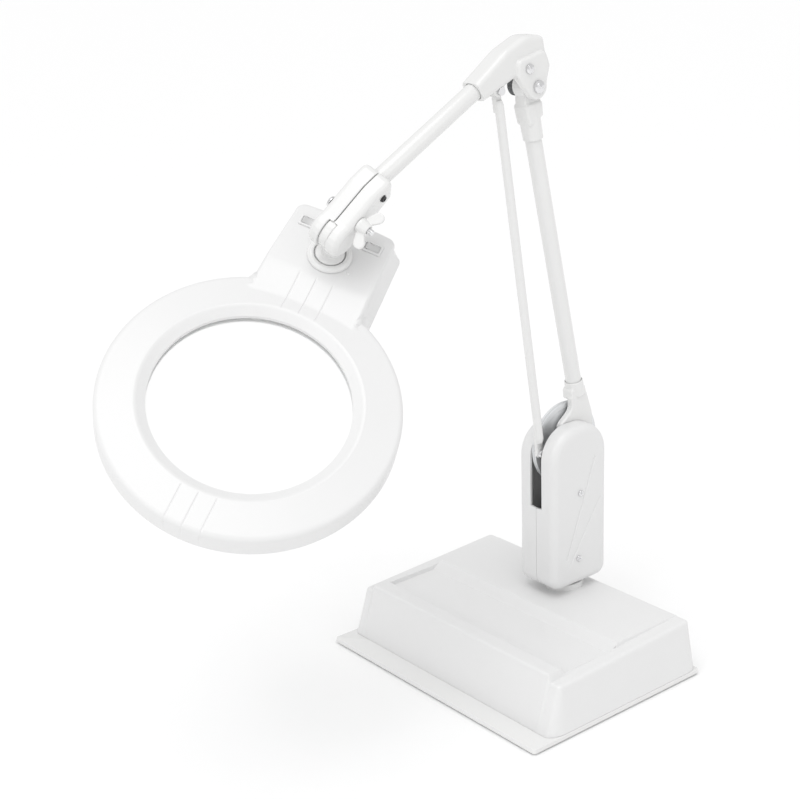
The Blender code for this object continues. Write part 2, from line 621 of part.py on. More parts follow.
def spring_path(x, lower, upper):
    """A tension spring's wire: hook under the lower pin, close helix, hook over the upper pin."""
    hook = TAIL_PIN_RADIUS + SPRING_WIRE + 0.5 * MM
    lead = 13 * MM
    path = [(x, lower[0] + u, lower[1] + v) for u, v in arc((0, 0), hook, 200, 450, 8)]
    steps = SPRING_TURNS * 8
    for step in range(1, steps):
        angle = 2 * math.pi * step / 8
        share = step / steps
        height = lower[1] + lead + (upper[1] - lower[1] - 2 * lead) * share
        middle = lower[0] + (upper[0] - lower[0]) * share
        path.append((x + SPRING_RADIUS * math.sin(angle), middle + SPRING_RADIUS * math.cos(angle), height))
    path += [(x, upper[0] + u, upper[1] + v) for u, v in arc((0, 0), hook, 270, 520, 8)]
    return path


# --- lower arm ------------------------------------------------------------------------------
def lower_tube_frame(shoulder):
    """Frame whose Z runs up the lower tube, from abreast of the shoulder pivot."""
    shift = LOWER_TUBE_FOOT_Y - LOWER_TUBE_HEAD_Y
    tilt = math.atan2(shift, ARM_LENGTH)
    return joint_frame("lower_tube_axis", shoulder, (0, LOWER_TUBE_FOOT_Y, 0), (tilt, 0, 0))


def build_lower_arm(looks, shoulder):
    """Flared fitting on the shoulder pin, tube, top yoke with its eye, and the elbow's bolt and washers."""
    tube = lower_tube_frame(shoulder)
    bore = LOWER_TUBE_RADIUS + RUN
    socket = bore + SOCKET_WALL
    flare = [(-14 * MM, -13 * MM, 12 * MM), (29 * MM, -12 * MM, 10 * MM), (33 * MM, 24 * MM, 14 * MM),
             (27.5 * MM, 52 * MM, 6 * MM), (6.5 * MM, 52 * MM, 4 * MM), (5.5 * MM, 36 * MM, 10 * MM),
             (-13 * MM, 26 * MM, 8 * MM)]
    fitting = put("lower_fitting", prism(rounded(flare), FITTING_INNER, FITTING_HALF, 0.0, 1.0 * MM, 1,
                                         OUTLINE_TO_X), shoulder, looks["enamel"])
    thick = [(7 * MM, 45.5 * MM, 2 * MM), (28.0 * MM, 45.5 * MM, 2 * MM), (27.0 * MM, 58 * MM, 4 * MM),
             (7.6 * MM, 58 * MM, 4 * MM)]
    join(fitting, prism(rounded(thick), -FITTING_HALF, FITTING_HALF - 0.1 * MM, 1 * MM, 1 * MM, 1, OUTLINE_TO_X),
         shoulder)
    mouth = FITTING_TOP - FITTING_DEPTH
    join(fitting, turned([(socket - 0.8 * MM, mouth), (socket, mouth + 2 * MM), (socket, FITTING_TOP - 0.6 * MM),
                          (socket - 0.6 * MM, FITTING_TOP)], 24), tube)
    join(fitting, rod_shape(TAIL_PIN_RADIUS, FITTING_HALF - 1 * MM, FRAME_INNER - 1 * MM, turn=TURN_TO_X,
                            place=(0, TAIL_ARM, 0)), shoulder)
    cut(fitting, rod_shape(bore, mouth + 1 * MM, 0.09, steps=24), tube)
    cut(fitting, rod_shape(PIN_RADIUS + RUN, -0.02, 0.02, turn=TURN_TO_X), shoulder)

    inside = LOWER_TUBE_RADIUS - TUBE_WALL
    low, high = mouth + 1 * MM + GAP, YOKE_FOOT + YOKE_DEPTH
    pipe = [(LOWER_TUBE_RADIUS, low), (LOWER_TUBE_RADIUS, high), (inside, high), (inside, low)]
    put("lower_tube", turned(pipe, 24, ring=True), tube, looks["enamel"])

    yoke = put("upper_yoke", turned([(socket, YOKE_FOOT), (socket + 0.4 * MM, YOKE_FOOT + 18 * MM),
                                     (socket, YOKE_FOOT + 30 * MM)], 24), tube, looks["enamel"])
    elbow = ARM_LENGTH
    body = [(8.8 * MM, elbow - 30 * MM, 3 * MM), (9.5 * MM, elbow - 15.5 * MM, 3 * MM),
            (-12.5 * MM, elbow - 15.5 * MM, 3 * MM), (-9.6 * MM, elbow - 38 * MM, 3 * MM)]
    join(yoke, prism(rounded(body[::-1], 2), -YOKE_HALF, YOKE_HALF, 1.5 * MM, 1.5 * MM, 1, OUTLINE_TO_X), shoulder)
    neck = [(8.5 * MM, elbow - 20 * MM, 0), (9.5 * MM, elbow, 0), (-9.5 * MM, elbow, 0), (-11.5 * MM, elbow - 20 * MM, 0)]
    join(yoke, prism(rounded(neck[::-1]), 0.2 * MM - EYE_HALF, EYE_HALF - 0.2 * MM, turn=OUTLINE_TO_X), shoulder)
    join(yoke, rod_shape(EYE_RADIUS, -EYE_HALF, EYE_HALF, turn=TURN_TO_X, place=(0, 0, elbow)), shoulder)
    cut(yoke, rod_shape(bore, YOKE_FOOT - 10 * MM, high + GAP, steps=24), tube)
    cut(yoke, rod_shape(ELBOW_BOLT_RADIUS + RUN, -0.02, 0.02, turn=TURN_TO_X, place=(0, 0, elbow)), shoulder)

    low = -EYE_HALF - GAP
    bore = ELBOW_BOLT_RADIUS + RUN
    for name in ("friction_washer_inner", "friction_washer_outer"):
        high, low = low, low - FRICTION_WASHER_THICK
        middle = (low + high) / 2
        ribs = [(bore, low), (FRICTION_WASHER, low), (FRICTION_WASHER, middle - 0.5 * MM),
                (FRICTION_WASHER - 1.2 * MM, middle - 0.5 * MM), (FRICTION_WASHER - 1.2 * MM, middle + 0.5 * MM),
                (FRICTION_WASHER, middle + 0.5 * MM), (FRICTION_WASHER, high), (bore, high)]
        put(name, turned(ribs, ring=True, turn=TURN_TO_X, place=(0, 0, elbow)), shoulder, looks["grey"])
        low -= GAP
    nut_low = low - 5 * MM
    nut = nut_shape(bore, 7.2 * MM, nut_low, low, TURN_TO_X, (0, 0, elbow))
    put("elbow_nut", nut, shoulder, looks["steel"])
    head = CHEEK_OUTER + GAP
    bolt = [(0.0, nut_low - 1.5 * MM), (ELBOW_BOLT_RADIUS, nut_low - 1.5 * MM), (ELBOW_BOLT_RADIUS, head),
            (6 * MM, head), (6 * MM, head + 1.5 * MM), (4 * MM, head + 3.4 * MM), (0.0, head + 4 * MM)]
    put("elbow_bolt", turned(bolt, 16, turn=TURN_TO_X, place=(0, 0, elbow)), shoulder, looks["chrome"])


# --- crank and link rod ---------------------------------------------------------------------
def build_crank(looks, crank):
    """Grooved balance disc on the shoulder pin with a spring pin behind, and the rod's lower bolt."""
    middle = (DISC_INNER_X + DISC_OUTER_X) / 2
    groove = 1.1 * MM
    rim = CRANK_RADIUS
    disc = [(PIN_RADIUS + RUN, DISC_OUTER_X), (rim, DISC_OUTER_X), (rim, middle - groove),
            (rim - 2 * MM, middle), (rim, middle + groove), (rim, DISC_INNER_X), (PIN_RADIUS + RUN, DISC_INNER_X)]
    plate = put("crank_disc", turned(disc, 48, ring=True, turn=TURN_TO_X), crank, looks["zinc"])
    join(plate, rod_shape(TAIL_PIN_RADIUS, 1 * MM - FRAME_INNER, DISC_OUTER_X + 1 * MM, turn=TURN_TO_X,
                          place=(0, TAIL_ARM, 0)), crank)
    cut(plate, rod_shape(ROD_BOLT_RADIUS + RUN, -0.02, 0.02, turn=TURN_TO_X, place=(0, -CRANK_ARM, 0)), crank)
    seat = ROD_X - ROD_RADIUS + ROD_EYE_THICK + GAP
    bolt = [(0.0, DISC_OUTER_X - 0.6 * MM), (ROD_BOLT_RADIUS, DISC_OUTER_X - 0.6 * MM), (ROD_BOLT_RADIUS, seat),
            (4.3 * MM, seat), (4.3 * MM, seat + 2.6 * MM), (3.6 * MM, seat + 3.4 * MM), (0.0, seat + 3.4 * MM)]
    put("rod_bolt_lower", turned(bolt, 12, turn=TURN_TO_X, place=(0, -CRANK_ARM, 0)), crank, looks["chrome"])


def build_link_rod(looks, rod):
    """Round rod, flattened to an eye at both ends."""
    flat_low = ROD_X - ROD_RADIUS + 0.0 * MM
    flat_high = flat_low + ROD_EYE_THICK
    bar = put("link_rod", turned([(ROD_RADIUS - 1.2 * MM, -ARM_LENGTH + 12 * MM), (ROD_RADIUS, -ARM_LENGTH + 17 * MM),
                                  (ROD_RADIUS, -14 * MM), (ROD_RADIUS - 1.2 * MM, -9 * MM)],
                                 place=(ROD_X, 0, 0)), rod, looks["enamel"])
    for z in (0.0, -ARM_LENGTH):
        toward = -20 * MM if z == 0.0 else 20 * MM
        strap = block((flat_low + 0.1 * MM, -ROD_RADIUS, min(z, z + toward)),
                      (flat_high - 0.1 * MM, ROD_RADIUS, max(z, z + toward)))
        join(bar, strap, rod)
        join(bar, rod_shape(ROD_EYE_RADIUS, flat_low, flat_high, turn=TURN_TO_X, place=(0, 0, z)), rod)
        cut(bar, rod_shape(ROD_BOLT_RADIUS + RUN, -0.02, 0.02, turn=TURN_TO_X, place=(0, 0, z)), rod)


# --- upper arm ------------------------------------------------------------------------------
def rod_pivot_in_elbow():
    """The link rod's top pivot, seen from the elbow frame."""
    return -CRANK_ARM * math.cos(RISE), CRANK_ARM * math.sin(RISE)


def build_upper_arm(looks, elbow):
    """Fin-shaped elbow bracket, its cover screw, the rod's top bolt and the upper tube."""
    fin = [(19 * MM, 9 * MM, 5.5 * MM), (25 * MM, 9.5 * MM, 5.5 * MM), (32.5 * MM, 33.5 * MM, 6 * MM),
           (14 * MM, 46 * MM, 22 * MM), (-14 * MM, 48.5 * MM, 40 * MM), (-BRACKET_MOUTH - 9 * MM, 42.6 * MM, 6 * MM),
           (-BRACKET_MOUTH - 9 * MM, 25.2 * MM, 6 * MM), (-30 * MM, 21 * MM, 8 * MM), (-18 * MM, 20 * MM, 8 * MM)]
    bracket = put("elbow_bracket", prism(rounded(fin), -BRACKET_HALF, BRACKET_HALF, 5 * MM, 5 * MM, 3,
                                         OUTLINE_TO_X), elbow, looks["enamel"])
    cut(bracket, block((-0.03, -0.1, 0.0), (0.03, -BRACKET_MOUTH, 0.08)), elbow)
    cheek = rounded([*[(u, v, 0) for u, v in arc((0, 0), EYE_RADIUS, 180, 345, 9)],
                     (23 * MM, 8 * MM, 4 * MM), (25 * MM, 24 * MM, 6 * MM), (-9 * MM, 34 * MM, 6 * MM),
                     (-16.5 * MM, 20 * MM, 6 * MM)])
    join(bracket, prism(cheek, CHEEK_INNER, CHEEK_OUTER, 0.0, 2.5 * MM, 2, OUTLINE_TO_X), elbow)
    pivot_y, pivot_z = rod_pivot_in_elbow()
    ear = rounded([(pivot_y - 6.5 * MM, pivot_z - 2 * MM, 4 * MM), (pivot_y - 2 * MM, pivot_z - 7 * MM, 4 * MM),
                   (pivot_y + 6 * MM, pivot_z - 5 * MM, 4 * MM), (pivot_y + 8 * MM, pivot_z + 12 * MM, 2 * MM),
                   (pivot_y - 7 * MM, pivot_z + 12 * MM, 2 * MM)])
    eye_low = ROD_X - ROD_RADIUS - GAP
    eye_high = ROD_X - ROD_RADIUS + ROD_EYE_THICK + GAP
    join(bracket, prism(ear, eye_low - 4 * MM, eye_high + 4 * MM, 0.8 * MM, 0.8 * MM, 1, OUTLINE_TO_X), elbow)
    roof = pivot_z + ROD_EYE_RADIUS + GAP
    slot_half = ROD_EYE_RADIUS + 3 * MM
    slot = rounded([(pivot_y - slot_half, pivot_z - 30 * MM, 0), (pivot_y + slot_half, pivot_z - 30 * MM, 0),
                    (pivot_y + slot_half, roof, 3 * MM), (pivot_y - slot_half, roof, 3 * MM)])
    wide_low = ROD_X - ROD_RADIUS - GAP
    wide_high = ROD_X + ROD_RADIUS + GAP
    cut(bracket, prism(slot, wide_low, eye_high, turn=OUTLINE_TO_X), elbow)
    wide_slot = rounded([(pivot_y - 13 * MM, pivot_z - 30 * MM, 0), (pivot_y + 13 * MM, pivot_z - 30 * MM, 0),
                         (pivot_y + 13 * MM, pivot_z - 4.5 * MM, 0), (pivot_y - 13 * MM, pivot_z - 4.5 * MM, 0)])
    cut(bracket, prism(wide_slot, wide_low, wide_high, turn=OUTLINE_TO_X), elbow)
    cut(bracket, rod_shape(EYE_RADIUS + 1.2 * MM, -0.03, CHEEK_INNER, turn=TURN_TO_X), elbow)
    tube_place = (0, 0, UPPER_TUBE_Z)
    bore = UPPER_TUBE_RADIUS + RUN
    root = 44.5 * MM
    join(bracket, turned([(bore + SOCKET_WALL, -BRACKET_MOUTH), (bore + SOCKET_WALL, -root)], 24,
                         turn=TURN_TO_Y, place=tube_place), elbow)
    cut(bracket, rod_shape(bore, -0.08, -root, turn=TURN_TO_Y, place=tube_place, steps=24), elbow)
    cut(bracket, rod_shape(ELBOW_BOLT_RADIUS + RUN, -0.03, 0.03, turn=TURN_TO_X), elbow)
    cut(bracket, rod_shape(ROD_BOLT_RADIUS + RUN, -0.03, 0.03, turn=TURN_TO_X, place=(0, pivot_y, pivot_z)), elbow)
    cut(bracket, rod_shape(4 * MM + RUN, eye_high + 4 * MM, 0.03, turn=TURN_TO_X, place=(0, pivot_y, pivot_z)), elbow)
    screw_y, screw_z = -1.2 * MM, 20.5 * MM
    cut(bracket, rod_shape(2 * MM + RUN, CHEEK_OUTER - 8 * MM, 0.03, turn=TURN_TO_X,
                           place=(0, screw_y, screw_z)), elbow)

    inside = UPPER_TUBE_RADIUS - TUBE_WALL
    near, far = -(root + GAP), -(WRIST_REACH + UPPER_TUBE_INTO_CLAMP)
    pipe = [(UPPER_TUBE_RADIUS, far), (UPPER_TUBE_RADIUS, near), (inside, near), (inside, far)]
    put("upper_tube", turned(pipe, 24, ring=True, turn=TURN_TO_Y, place=tube_place), elbow, looks["enamel"])

    seat = CHEEK_OUTER + GAP
    screw = [(0.0, seat - 7 * MM), (2 * MM, seat - 7 * MM), (2 * MM, seat), (4.6 * MM, seat),
             (4.6 * MM, seat + 1.2 * MM), (3 * MM, seat + 2.6 * MM), (0.0, seat + 3 * MM)]
    put("fin_screw", turned(screw, 16, turn=TURN_TO_X, place=(0, screw_y, screw_z)), elbow, looks["chrome"])
    seat = eye_high + 4 * MM + GAP
    bolt = [(0.0, eye_low - 4.5 * MM), (ROD_BOLT_RADIUS, eye_low - 4.5 * MM), (ROD_BOLT_RADIUS, seat),
            (4 * MM, seat), (4 * MM, seat + 2.4 * MM), (0.0, seat + 2.4 * MM)]
    put("rod_bolt_upper", turned(bolt, 12, turn=TURN_TO_X, place=(0, pivot_y, pivot_z)), elbow, looks["chrome"])


# --- clamp, wing nut and stem ---------------------------------------------------------------
def clamp_outline():
    """Clamp's side view: a mouth round the tube, tapering to the round nose at the knuckle."""
    nose = arc((-KNUCKLE_REACH, -KNUCKLE_DROP), NOSE_RADIUS, 80, 292, 12)
    mouth = rounded([(0.0, -CLAMP_MOUTH_HALF, 6 * MM), (0.0, CLAMP_MOUTH_HALF, 6 * MM),
                     (-CLAMP_SHOULDER, CLAMP_SHOULDER_HALF, 9 * MM), (*nose[0], 0), (*nose[-1], 0)], 3)
    keep = [point for point in mouth if point[0] > -KNUCKLE_REACH * 0.6]
    return keep + nose


def build_clamp(looks, wrist):
    """Two clamp halves, the set screw on the tube and the bolt under the wing nut."""
    knuckle = (0, -KNUCKLE_REACH, -KNUCKLE_DROP)
    pocket = TONGUE_RADIUS + 0.6 * MM
    half_width = TONGUE_HALF + GAP
    for name, side in (("clamp_half_left", -1), ("clamp_half_right", 1)):
        low, high = sorted((side * CLAMP_SEAM / 2, side * CLAMP_HALF))
        rims = (5 * MM, 0.0) if side < 0 else (0.0, 5 * MM)
        half = put(name, prism(clamp_outline(), low, high, *rims, 3, OUTLINE_TO_X), wrist, looks["enamel"])
        cut(half, rod_shape(UPPER_TUBE_RADIUS + RUN, 0.01, -UPPER_TUBE_INTO_CLAMP - GAP, turn=TURN_TO_Y,
                            steps=24), wrist)
        cut(half, rod_shape(pocket, -half_width, half_width, turn=TURN_TO_X, place=knuckle), wrist)
        cut(half, block((-half_width, -0.1, -0.06), (half_width, -KNUCKLE_REACH, 0.01)), wrist)
        cut(half, block((-half_width, -0.1, -0.06), (half_width, -KNUCKLE_REACH + pocket, -KNUCKLE_DROP)), wrist)
        cut(half, rod_shape(CLAMP_BOLT_RADIUS + RUN, -0.03, 0.03, turn=TURN_TO_X,
                            place=(0, -CLAMP_BOLT_REACH, -CLAMP_BOLT_DROP)), wrist)
        if side > 0:
            cut(half, rod_shape(3 * MM + RUN, 5 * MM, 0.03, turn=TURN_TO_X, place=(0, -SET_SCREW_REACH, 0)), wrist)
    start = UPPER_TUBE_RADIUS + GAP + 0.3 * MM
    screw = [(0.0, start), (3 * MM, start), (3 * MM, CLAMP_HALF + 1.2 * MM), (2.2 * MM, CLAMP_HALF + 2 * MM),
             (0.0, CLAMP_HALF + 2 * MM)]
    put("clamp_set_screw", turned(screw, 12, turn=TURN_TO_X, place=(0, -SET_SCREW_REACH, 0)), wrist, looks["black"])
    seat = -CLAMP_HALF - GAP
    end = CLAMP_HALF + 15 * MM
    bolt = [(0.0, seat - 3.2 * MM), (5 * MM, seat - 3.2 * MM), (5.6 * MM, seat), (CLAMP_BOLT_RADIUS, seat),
            (CLAMP_BOLT_RADIUS, end - 0.8 * MM), (CLAMP_BOLT_RADIUS - 0.8 * MM, end), (0.0, end)]
    put("clamp_bolt", turned(bolt, 16, turn=TURN_TO_X, place=(0, -CLAMP_BOLT_REACH, -CLAMP_BOLT_DROP)), wrist,
        looks["chrome"])


def build_wing_nut(looks, wing):
    """Wing nut: a tapered hub with two rounded ears."""
    seat = CLAMP_HALF + GAP
    bore = CLAMP_BOLT_RADIUS + RUN
    hub = [(bore, seat), (7 * MM, seat), (7 * MM, seat + 2 * MM), (5.2 * MM, seat + 10 * MM), (bore, seat + 10 * MM)]
    nut = put("wing_nut", turned(hub, 16, ring=True, turn=TURN_TO_X), wing, looks["enamel"])
    for side in (-1, 1):
        ear = rounded([(side * 4.2 * MM, seat + 1.5 * MM, 0), (side * 9 * MM, seat + 2.5 * MM, 2 * MM),
                       (side * (WING_SPAN + 4.5 * MM), seat + 7 * MM, 4 * MM),
                       (side * (WING_SPAN + 4.5 * MM), seat + 15 * MM, 4 * MM),
                       (side * (WING_SPAN - 2 * MM), seat + 15.5 * MM, 4 * MM),
                       (side * 4.2 * MM, seat + 8.5 * MM, 0)][::side], 3)
        outline = [(height, span) for span, height in ear][::-1]
        spun = Matrix.Rotation(WING_TURN, 4, "X") @ Matrix.Rotation(math.radians(90), 4, "X")
        join(nut, prism(outline, -1.7 * MM, 1.7 * MM, 0.6 * MM, 0.6 * MM, 1, spun), wing)
    return nut


def build_stem(looks, knuckle):
    """Stem: round tongue between the clamp halves, neck, swivel flange and threaded tail."""
    stem = put("tilt_stem", turned([(0.0, -TONGUE_HALF), (TONGUE_RADIUS - 0.8 * MM, -TONGUE_HALF),
                                    (TONGUE_RADIUS, 0.8 * MM - TONGUE_HALF), (TONGUE_RADIUS, TONGUE_HALF - 0.8 * MM),
                                    (TONGUE_RADIUS - 0.8 * MM, TONGUE_HALF), (0.0, TONGUE_HALF)], 32,
                                   turn=TURN_TO_X), knuckle, looks["enamel"])
    flange_top = NECK_TOP + 4.0 * MM - STEM_DROP
    flange_low = NECK_TOP + 2.0 * MM - STEM_DROP
    tail = NECK_TOP - 14 * MM - STEM_DROP
    neck = TONGUE_HALF - 0.3 * MM
    blend_low = -TONGUE_RADIUS - 6.5 * MM
    join(stem, turned([(0.0, -9 * MM), (neck, -9 * MM), (neck, -TONGUE_RADIUS - 3 * MM), (STEM_NECK_RADIUS, blend_low),
                       (STEM_NECK_RADIUS, flange_top + 2 * MM), (STEM_FLANGE - 1 * MM, flange_top + 0.4 * MM),
                       (STEM_FLANGE, flange_top), (STEM_FLANGE, flange_low),
                       (STEM_RADIUS, flange_low), (STEM_RADIUS, tail), (0.0, tail)], 24), knuckle)


# --- head -----------------------------------------------------------------------------------
def neck_half(y):
    """Half the platform's width, which grows towards the ring."""
    share = (NECK_BACK - y) / (NECK_BACK - NECK_FRONT)
    return NECK_HALF_BACK + (NECK_HALF_FRONT - NECK_HALF_BACK) * share


def neck_outline(grow, front):
    """The neck's plan view down to a front edge, widened all round by grow."""
    behind = NECK_BACK + grow
    back_half, front_half = neck_half(NECK_BACK) + grow, neck_half(front) + grow
    return rounded([(-back_half, behind, NECK_CORNER), (-front_half, front, 0),
                    (front_half, front, 0), (back_half, behind, NECK_CORNER)], 4)


def neck_flare(level):
    """How far the drafted sides stand out at a level below the platform."""
    return NECK_FLARE * (NECK_TOP - level) / (NECK_TOP + RING_DEPTH)


def neck_block(shrink=0.0, top=NECK_TOP, foot=-RING_DEPTH, front=-75 * MM):
    """The neck's drafted body, or with a shrink its hollow."""
    rings = []
    for level in (foot, top):
        outline = neck_outline(neck_flare(level) - shrink, front)
        rings.append([(x, y, level) for x, y in outline])
    return loft(rings)


def ramp_cutter(drop=0.0):
    """Space above the ramp, in side view."""
    foot_z = RING_CROWN - 1.6 * MM - drop
    return prism([(-0.12, foot_z), (NECK_FRONT, foot_z), (NECK_RAMP_BACK, NECK_TOP - drop), (NECK_RAMP_BACK, 0.05),
                  (-0.12, 0.05)], -0.08, 0.08, turn=OUTLINE_TO_X)


def ring_section():
    """The ring's wall in section: outer form, lens seat and wall, and the channel where the lamp lies."""
    edge = [(RING_RADIUS - RING_EDGE + u, v - RING_EDGE) for u, v in arc((0, 0), RING_EDGE, 0, 90, 3)]
    outer = RING_RADIUS - SHELL_WALL
    roof = RING_CROWN - SHELL_WALL - 0.6 * MM
    return [(RING_RADIUS, -RING_DEPTH), *edge, (FUNNEL_RADIUS + 2 * MM, RING_CROWN),
            (FUNNEL_RADIUS - 1 * MM, RING_CROWN - 0.8 * MM), (OPENING_RADIUS, -1.0 * MM), (OPENING_RADIUS, LENS_SEAT),
            (LENS_WALL_INNER, LENS_SEAT), (LENS_WALL_INNER, LENS_WALL_FOOT), (LENS_WALL_OUTER, LENS_WALL_FOOT),
            (LENS_WALL_OUTER, roof), (outer - 3 * MM, -SHELL_WALL - 0.4 * MM), (outer, -RING_EDGE - 1 * MM),
            (outer, -RING_DEPTH)]


def hidden(name, mesh, head, *cuts):
    """A hidden shape that is itself trimmed before it is used."""
    tool = put(name, mesh, head)
    for solid in cuts:
        cut(tool, solid, head)
    return tool


def build_head_shell(looks, head, centre):
    """The moulded shell: ring, ramped neck, hollow underside, lens seat and the openings in the neck."""
    shell = put("head_shell", turned(ring_section(), ring=True, place=centre), head, looks["plastic"])
    body = neck_block()
    rims = [e for e in body.edges if min(v.co.z for v in e.verts) > NECK_TOP - 0.1 * MM]
    bmesh.ops.bevel(body, geom=rims, offset=3 * MM, segments=2, profile=0.5, affect="EDGES")
    wall_middle = RING_RADIUS - SHELL_WALL / 2
    under_ring = rod_shape(wall_middle, -0.06, -1.5 * MM, place=centre)
    inside_ring = rod_shape(FUNNEL_RADIUS + 6 * MM, -0.07, 0.06, place=centre)
    use(shell, "UNION", hidden("neck_body_tool", tidy(body), head, ramp_cutter(), inside_ring, under_ring))
    hollow = neck_block(NECK_WALL, NECK_TOP - SHELL_WALL, -RING_DEPTH - 1 * MM, -60 * MM)
    channel_middle = rod_shape(RING_RADIUS - 12 * MM, -0.06, 0.06, place=centre)
    use(shell, "DIFFERENCE", hidden("neck_hollow_tool", hollow, head, ramp_cutter(SHELL_WALL + 0.4 * MM),
                                    channel_middle))
    cut(shell, rod_shape(STEM_RADIUS + RUN, -0.02, 0.02), head)
    for side in (-1, 1):
        x = side * SWITCH_X
        hole_x, hole_y = SWITCH_LENGTH / 2 - 1 * MM + GAP, SWITCH_WIDTH / 2 - 1 * MM + GAP
        cut(shell, block((x - hole_x, SWITCH_Y - hole_y, -5 * MM), (x + hole_x, SWITCH_Y + hole_y, 0.02)), head)


def build_optics(looks, head, centre):
    """Lens, its retaining ring, the reflector, the ring lamp with its base, holder and three clips."""
    middle = LENS_SEAT - LENS_DROP - LENS_EDGE / 2
    sphere = (LENS_RADIUS ** 2 + LENS_BULGE ** 2) / (2 * LENS_BULGE)
    steps = 3
    top = []
    for step in range(steps + 1):
        radius = LENS_RADIUS * step / steps
        top.append((radius, LENS_EDGE / 2 + LENS_BULGE - sphere + math.sqrt(sphere ** 2 - radius ** 2)))
    profile = [(radius, middle + height) for radius, height in top]
    profile += [(radius, middle - height) for radius, height in reversed(top)]
    put("magnifier_lens", turned(profile, place=centre), head, looks["glass"])
    low_edge = middle - LENS_EDGE / 2
    ring = [(LENS_RADIUS - 2 * MM, low_edge - 0.8 * MM), (LENS_WALL_INNER - GAP, low_edge - 0.8 * MM),
            (LENS_WALL_INNER - GAP, low_edge - 3.4 * MM), (LENS_RADIUS - 2 * MM, low_edge - 3.4 * MM)]
    put("lens_ring", turned(ring, ring=True, place=centre), head, looks["plastic"])
    inner, outer = LENS_WALL_OUTER + 0.6 * MM, RING_RADIUS - SHELL_WALL - 3.6 * MM
    plate = [(inner, REFLECTOR_FACE), (outer, REFLECTOR_FACE), (outer, REFLECTOR_FACE + 0.8 * MM),
             (inner, REFLECTOR_FACE + 0.8 * MM)]
    put("reflector", turned(plate, 48, ring=True, place=centre), head, looks["reflector"])
    path = []
    steps = 36
    for step in range(steps + 1):
        angle = math.pi / 2 + LAMP_GAP + (2 * math.pi - 2 * LAMP_GAP) * step / steps
        path.append((LAMP_RING_RADIUS * math.cos(angle), centre[1] + LAMP_RING_RADIUS * math.sin(angle), LAMP_TUBE_Z))
    put("ring_lamp", swept(path, LAMP_TUBE_RADIUS, 10), head, looks["lamp"])
    reach = (LAMP_RING_RADIUS - LAMP_TUBE_RADIUS) * math.sin(LAMP_GAP) - GAP
    base_y = centre[1] + LAMP_RING_RADIUS
    low, high = LAMP_TUBE_Z - 8 * MM, LAMP_TUBE_Z + 8 * MM
    put("lamp_base", block((-reach, base_y - 9 * MM, low), (reach, base_y + 8 * MM, high), 1.5 * MM),
        head, looks["cap"])
    put("lamp_holder", block((-13 * MM, base_y + 8 * MM + GAP, low), (13 * MM, base_y + 20 * MM, high), 1 * MM),
        head, looks["cap"])
    wire = 1.2 * MM
    for index, degrees in enumerate((-90, 30, 150)):
        inner = LAMP_TUBE_RADIUS + 0.7 * MM
        outer = inner + wire
        lift = REFLECTOR_FACE - GAP - LAMP_TUBE_Z
        shape_out = [(-outer, lift)] + arc((0, 0), outer, 180, 360, 8) + [(outer, lift)]
        shape_in = [(inner, lift)] + arc((0, 0), inner, 360, 180, 8) + [(-inner, lift)]
        spin = Matrix.Translation((centre[0], centre[1], LAMP_TUBE_Z)) @ Matrix.Rotation(math.radians(degrees), 4, "Z")
        turn = spin @ Matrix.Translation((LAMP_RING_RADIUS, 0, 0)) @ OUTLINE_TO_Y
        put(f"lamp_clip_{index + 1}", prism(shape_out + shape_in, -4 * MM, 4 * MM, turn=turn), head, looks["steel"])


def build_neck_parts(looks, head):
    """Swivel collar, stem nut, ballast, starter, underside cover and the two switch bodies."""
    low = NECK_TOP + GAP
    collar = [(STEM_RADIUS + RUN, low), (COLLAR_RADIUS, low), (COLLAR_RADIUS - 0.6 * MM, low + 2.4 * MM),
              (COLLAR_RADIUS - 3.2 * MM, low + 4.2 * MM), (STEM_FLANGE + 1.2 * MM, low + 4.2 * MM),
              (STEM_FLANGE + 0.6 * MM, low + 1.3 * MM), (STEM_RADIUS + RUN, low + 1.3 * MM)]
    put("stem_collar", turned(collar, 32, ring=True), head, looks["enamel"])
    ceiling = NECK_TOP - SHELL_WALL - GAP
    put("stem_nut", nut_shape(STEM_RADIUS + RUN, 11 * MM, ceiling - 6 * MM, ceiling), head, looks["steel"])
    put("ballast", block((-44 * MM, -24 * MM, -20 * MM), (-18 * MM, 15 * MM, -2 * MM), 1 * MM), head, looks["black"])
    put("starter", rod_shape(8.5 * MM, -24 * MM, 12 * MM, turn=TURN_TO_Y, place=(31 * MM, 0, -11 * MM), steps=16),
        head, looks["grey"])
    cover_top = -RING_DEPTH + 1.6 * MM
    underside = neck_outline(neck_flare(cover_top) - NECK_WALL - GAP, -RING_CENTRE + RING_RADIUS)
    put("neck_cover", prism(underside, -RING_DEPTH, cover_top), head, looks["plastic"])
    for name, side in (("switch_body_left", -1), ("switch_body_right", 1)):
        x = side * SWITCH_X
        long, wide = SWITCH_LENGTH / 2, SWITCH_WIDTH / 2
        body = put(name, block((x - long + 1 * MM, SWITCH_Y - wide + 1 * MM, NECK_TOP - SWITCH_DEPTH),
                               (x + long - 1 * MM, SWITCH_Y + wide - 1 * MM, NECK_TOP + GAP)), head, looks["plastic"])
        join(body, block((x - long, SWITCH_Y - wide, NECK_TOP + GAP - 0.01 * MM),
                         (x + long, SWITCH_Y + wide, NECK_TOP + 1.5 * MM)), head)
        cut(body, block((x - long + 2 * MM, SWITCH_Y - wide + 2 * MM, NECK_TOP - 7.5 * MM),
                        (x + long - 2 * MM, SWITCH_Y + wide - 2 * MM, 0.02)), head)


